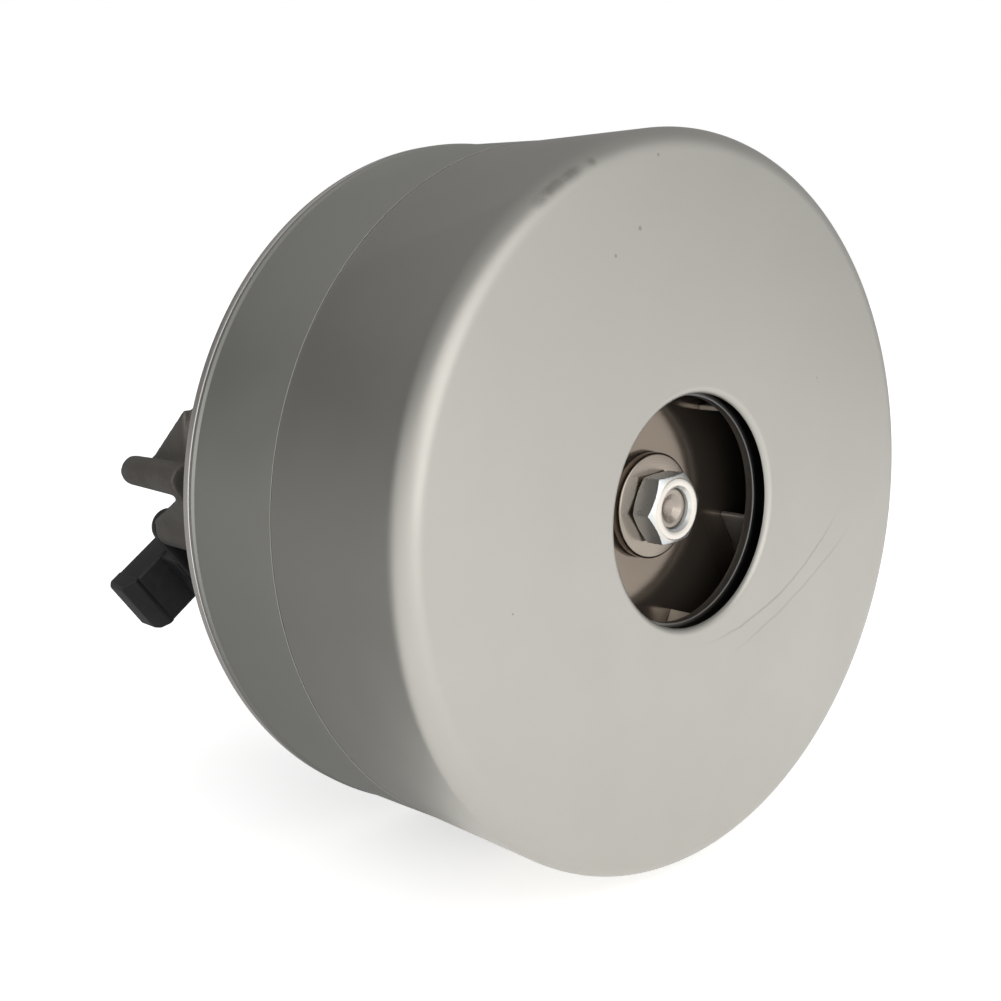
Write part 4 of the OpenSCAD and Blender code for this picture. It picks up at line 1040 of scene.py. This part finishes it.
postThread = {"radius": 1.72, "ridge": 0.3, "pitch": 0.7, "start": 118.5, "end": 128.7, "postR": 50.0, "count": 4,
              "steps": 16}


def makeThread(size):
    steps = size["steps"]
    turns = (size["end"] - size["start"]) / size["pitch"]
    path = []
    for k in range(int(turns * steps)):
        spot = ringPoint(size["radius"], 360 * k / steps, size["start"] + size["pitch"] * k / steps)
        path.append(spot + Vector((size["postR"], 0, 0)))
    return ringOf(wire([path], "cast_aluminium", size["ridge"], 5, 1), "cast_aluminium", size["count"])


settle("postThreads", makeThread(postThread), None, look="turned_rim", sharp=70)

bearingCap = {"radius": 10.95, "front": 158.2, "top": 161.7, "wall": 1.0, "dish": 0.35, "dishR": 6.35, "rimR": 7.35}


def makeBearingCap(size):
    r, top, wall, low = size["radius"], size["top"], size["wall"], size["top"] - size["dish"]
    return lathe(rounded([
        (0, low, 0), (size["dishR"], low, 0.6), (size["rimR"], top, 0.6), (r, top, 0.7), (r, size["front"], 0.2),
        (r - wall, size["front"], 0.2), (r - wall, top - wall, 0.4), (0, low - wall, 0)]), 128)


settle("bearingCap", makeBearingCap(bearingCap), "zinc_steel", nodes=["rear_bearing_cap"])

tieScrew = {"d": 4.0, "start": 69.0, "seat": 111.7}
earScrew = {"d": 3.0, "start": 117.0, "seat": 127.0, "x": 42.3, "y": 15.4}


def makeScrew(size):
    d, seat = size["d"], size["seat"]
    body = lathe(rounded([
        (0, size["start"], 0), (d / 2 - 0.3, size["start"], 0), (d / 2, size["start"] + 0.4, 0), (d / 2, seat, 0.1),
        (d * 0.9, seat, 0.12), (d * 0.9, seat + d * 0.38, d * 0.3), (d * 0.55, seat + d * 0.66, d * 0.2),
        (0, seat + d * 0.7, 0)]), 48)
    for turn in (20, 110):
        slot = bevelBox((-d * 0.5, -d * 0.11, seat + d * 0.3), (d * 0.5, d * 0.11, seat + d), d * 0.02, 1)
        body = carve(body, turnedTo(slot, turn))
    return body


settle("tieScrews", atPlaces(makeScrew(tieScrew), tieSpots, "zinc_steel"), "zinc_steel", nodes=["tie_screws"])
spots = [turn @ Vector((earScrew["x"], side * earScrew["y"], 0))
         for turn in (Matrix.Rotation(math.radians(brushAngle + a), 3, "Z") for a in (0, 180)) for side in (-1, 1)]
settle("holderScrews", atPlaces(makeScrew(earScrew), spots, "zinc_steel"), "zinc_steel", nodes=["holder_screws"])
print("rear bracket and screws made")


# brush gear, drawn along +X from the commutator and turned to each brush

brush = {"z": brushDepth, "holderIn": 21.0, "capIn": 54.4, "capLap": 0.45, "end": 58.4, "wide": 15.4, "tall": 9.6,
         "guideWide": 11.6, "guideTall": 7.2, "guideWall": 0.5, "guideIn": 17.5, "guideEnd": 52.7, "bossX": 42.3,
         "bossZ": 125.0, "earW": 8.6, "earT": 2.0, "earY": 15.4, "earHole": 1.7, "ribY": 10.2, "ribHalf": 0.8,
         "chamfer": 3.0, "corner": 1.0, "springIn": 40.45, "springOut": 52.35, "springR": 2.3, "springWire": 0.6,
         "springTurns": 9, "travel": 4.0, "tabX": 44.3, "tabW": 4.8, "tabT": 0.8, "tabEnd": 153.8,
         "tabHole": 0.85, "tabHoleDown": 3.2, "tabTip": 1.4, "tabSlope": 1.1}
alongX = Matrix(((0, 0, 1, 0), (1, 0, 0, 0), (0, 1, 0, 0), (0, 0, 0, 1)))


def roundRect(wide, tall, corner):
    return rounded([(x * wide / 2, y * tall / 2, corner) for x, y in ((-1, -1), (1, -1), (1, 1), (-1, 1))])


def boxTube(outer, inner, start, end, z, corner, edge):
    tube = cutSheet([roundRect(*outer, corner), roundRect(*inner, min(0.3, corner))], start, end, edge)
    tube.transform(Matrix.Translation((0, 0, z)) @ alongX)
    return tube


def makeHolder(size):
    body = boxTube((size["wide"], size["tall"]), (size["guideWide"] + 0.1, size["guideTall"] + 0.1), size["holderIn"],
                   size["capIn"] - 0.06, size["z"], 0.9, 0.25)
    x, z, half, side = size["bossX"], size["bossZ"], size["earW"] / 2, size["wide"] / 2 - 0.5
    foot = bevelBox((x - half, -side, z + 0.4), (x + half, side, size["z"] - size["tall"] / 2 + 0.6), 0.6)
    stadium = [(x + half * math.cos(a), way * size["earY"] + half * math.sin(a))
               for way, first in ((1, 0), (-1, math.pi)) for a in (first + math.pi * k / 16 for k in range(17))]
    holes = [circle(size["earHole"], 20, x, way * size["earY"]) for way in (-1, 1)]
    ears = cutSheet([stadium, *holes], z, z + size["earT"], 0.25)
    ribs = [bevelBox((x - size["ribHalf"], way * size["ribY"] - 3.0, z + 1.5),
                     (x + size["ribHalf"], way * size["ribY"] + 1.2, z + 4.0), 0.4) for way in (-1, 1)]
    return joined(body, foot, ears, *ribs)


def chop(bm, point, direction):
    cut = bmesh.ops.bisect_plane(bm, geom=bm.verts[:] + bm.edges[:] + bm.faces[:], plane_co=point,
                                 plane_no=direction, clear_outer=True)
    edges = [e for e in cut["geom_cut"] if isinstance(e, bmesh.types.BMEdge)]
    bmesh.ops.edgenet_fill(bm, edges=edges)


def makeCap(size):
    z, under, over = size["z"], size["z"] - size["tall"] / 2, size["z"] + size["tall"] / 2
    bm = boxBetween((size["capIn"] - size["capLap"], -size["wide"] / 2, under), (size["end"], size["wide"] / 2, over))
    chop(bm, (size["end"] - size["chamfer"], 0, under), (1, 0, -1))
    for side in (-1, 1):
        chop(bm, (size["end"] - size["corner"], side * size["wide"] / 2, 0), (1, side, 0))
    block = roundBevel(meshOf(bm), 0.4, 25, 3)
    wide, tall = size["guideWide"] / 2 - 0.5, size["guideTall"] / 2 - 0.5
    plug = bevelBox((size["capIn"] - 1.6, -wide, z - tall), (size["capIn"] + 0.5, wide, z + tall), 0.2, 1)
    return joined(block, plug)


def makeGuide(size):
    wide, tall, wall = size["guideWide"], size["guideTall"], size["guideWall"]
    return boxTube((wide, tall), (wide - 2 * wall, tall - 2 * wall), size["guideIn"], size["guideEnd"], size["z"],
                   0.5, 0.08)


def makeTerminal(size):
    left, right = size["tabX"], size["tabX"] + size["tabW"]
    low, top, slope = size["z"] + size["guideTall"] / 2, size["tabEnd"], size["tabSlope"]
    tip = top - size["tabTip"]
    outline = rounded([(left, low, 0), (right, low, 0), (right, tip, 0.3), (right - slope, top, 0.3),
                       (left + slope, top, 0.3), (left, tip, 0.3)])
    hole = circle(size["tabHole"], 20, (left + right) / 2, top - size["tabHoleDown"])
    blade = cutSheet([outline, hole], -size["tabT"] / 2, size["tabT"] / 2, 0.12)
    blade.transform(Matrix(((1, 0, 0, 0), (0, 0, 1, 0), (0, 1, 0, 0), (0, 0, 0, 1))))
    blade.flip_normals()
    return blade


def springPath(size):
    count = 16 * size["springTurns"]
    path = []
    for k in range(count + 1):
        t = k / count
        closed = 0.5 - 0.5 * math.cos(math.pi * t)
        x = size["springIn"] + (size["springOut"] - size["springIn"]) * (0.55 * t + 0.45 * closed)
        a = 2 * math.pi * size["springTurns"] * t
        path.append(Vector((x, size["springR"] * math.cos(a), size["z"] + size["springR"] * math.sin(a))))
    return path


for letter, turn in pairSides:
    angle = brushAngle + turn
    coils = wire([springPath(brush)], "spring_steel", brush["springWire"] / 2, 8, 1)
    made = {}
    for kind, mesh, slot in (("Holder", makeHolder(brush), "black_plastic"), ("Cap", makeCap(brush), "black_plastic"),
                             ("Guide", makeGuide(brush), "brass"), ("Terminal", makeTerminal(brush), "brass"),
                             ("Spring", coils, "spring_steel")):
        made[kind] = settle("brush" + kind + "_" + letter, turnedTo(mesh, angle), slot,
                            nodes=["brush_" + kind.lower() + "_" + letter])
    spring = made["Spring"]
    outward = ringPoint(1, angle, 0)
    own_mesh(spring)
print("brush gear made")


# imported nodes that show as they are

slots = {part["node"]: part["material_slot"] for part in frame["record"]["subparts"]}
for name, node in frame["nodes"].items():
    if not node.hide_render:
        node.data.materials.clear()
        node.data.materials.append(finishes[slots[name]])


# stage, light and camera

stage = {"floorZ": -0.0735, "floorHalf": 12.0, "floorShade": 0.86, "floorGlow": 0.59, "white": 1.0, "soft": 0.60,
         "lampAim": (0, 0.05, 0)}
card = {"from": -3.0, "to": 2.2, "near": 0.035, "back": 1.1, "top": 1.05, "over": -1.1, "bend": 0.5, "turn": 0,
        "wall": 0.055, "low": 0.24, "high": 0.28}
sideCard = {"from": -1.0, "to": 0.85, "near": 0.95, "back": 1.0, "top": 1.6, "over": 0.99, "bend": 0.0,
            "wall": 0.42, "low": 0.25, "high": -0.05, "turn": -90}
cardFade = {"low": (0.16, 0.5), "high": (0.75, 0.6)}


def whiteRays(flow):
    # rays that show the white ground: straight from the camera, mirrored or passed through
    straight, mirrored, through = [flow.node("ShaderNodeLightPath", out=name) for name in (
        "Is Camera Ray", "Is Glossy Ray", "Is Transmission Ray")]
    return flow.math("MAXIMUM", flow.math("MAXIMUM", straight, mirrored), through)


def makeWorld(size):
    world = bpy.data.worlds.new("studio")
    world.use_nodes = True
    tree = world.node_tree
    flow = Flow(tree)
    level = flow.blend(whiteRays(flow), grey(size["soft"]), grey(size["white"]))
    feed(tree, tree.nodes["Background"].inputs, {"Color": level})
    bpy.context.scene.world = world


def makeFloor(size):
    mesh = bpy.data.meshes.new("floor")
    z, half = size["floorZ"], size["floorHalf"]
    mesh.from_pydata([(-half, -half, z), (half, -half, z), (half, half, z), (-half, half, z)], [], [(0, 1, 2, 3)])
    material, tree, inputs = startMaterial("paleFloor")
    flow = Flow(tree)
    glow = flow.blend(whiteRays(flow), grey(0), grey(size["floorGlow"]))
    feed(tree, inputs, {"Base Color": grey(size["floorShade"]), "Roughness": 0.9, "Emission Color": glow,
                        "Emission Strength": 1.0})
    mesh.materials.append(material)
    floor = holder(mesh, "floor")


def makeCard(size):
    # a dim screen behind and over the unit, seen only in reflections: it darkens the side of the case
    outline = rounded([(size["near"], stage["floorZ"] + 0.001, 0), (size["back"], stage["floorZ"] + 0.001, 0.1),
                       (size["back"], size["top"], size["bend"]), (size["over"], size["top"], 0)])
    bm = bmesh.new()
    rows = [[bm.verts.new((x, y, z)) for y, z in outline] for x in (size["from"], size["to"])]
    skin(bm, rows, False)
    mesh = plainMesh(bm)
    mesh.transform(Matrix.Rotation(math.radians(size["turn"]), 4, "Z"))
    material, tree, inputs = startMaterial("dimCard")
    height = Flow(tree).node("ShaderNodeTexCoord", out=3).dot((0, 0, 1))
    level = height.below(*cardFade["low"]) * size["low"] + height.above(*cardFade["high"]) * size["high"]
    level = level + size["wall"]
    glow = level.blend(level, grey(0), grey(1))
    feed(tree, inputs, {"Base Color": grey(0.02), "Emission Color": glow, "Emission Strength": 1.0})
    mesh.materials.append(material)
    screen = holder(mesh, "card")
    screen.visible_camera = screen.visible_diffuse = screen.visible_shadow = screen.visible_transmission = False


lamps = [{"name": "key", "spot": (-0.22, -1.0, 0.95), "size": 1.4, "power": 5.0},
         {"name": "front", "spot": (-0.10, -1.25, -0.06), "size": 0.8, "power": 2.8},
         {"name": "back", "spot": (-0.3, 1.2, 1.1), "size": 1.6, "power": 3.2}]


def makeLamps(rows):
    for row in rows:
        light = bpy.data.lights.new(row["name"], "AREA")
        light.energy, light.size = row["power"], row["size"]
        lamp = bpy.data.objects.new(row["name"], light)
        bpy.context.scene.collection.objects.link(lamp)
        lamp.location = row["spot"]
        aim = Vector(stage["lampAim"]) - Vector(row["spot"])
        lamp.rotation_euler = aim.to_track_quat("-Z", "Y").to_euler()


camera = {"spot": (-0.197871, -0.160356, 0.041722), "right": (0.73703, -0.67586, 0.0),
          "up": (0.10455, 0.11402, 0.98796), "ahead": (0.66773, 0.72816, -0.15470), "lens": 48.17, "sensor": 36.0}


def makeCamera(size):
    data = bpy.data.cameras.new("camera")
    data.lens, data.sensor_width = size["lens"], size["sensor"]
    data.clip_start, data.clip_end = 0.01, 100
    eye = bpy.data.objects.new("camera", data)
    bpy.context.scene.collection.objects.link(eye)
    back = -Vector(size["ahead"])
    turn = Matrix((size["right"], size["up"], back)).transposed()
    eye.matrix_world = Matrix.Translation(size["spot"]) @ turn.to_4x4()
    bpy.context.scene.camera = eye


makeWorld(stage)
makeFloor(stage)
makeCard(card)
makeCard(sideCard)
makeLamps(lamps)
makeCamera(camera)
bpy.context.scene.view_settings.view_transform = "Standard"
print("stage, light and camera made")
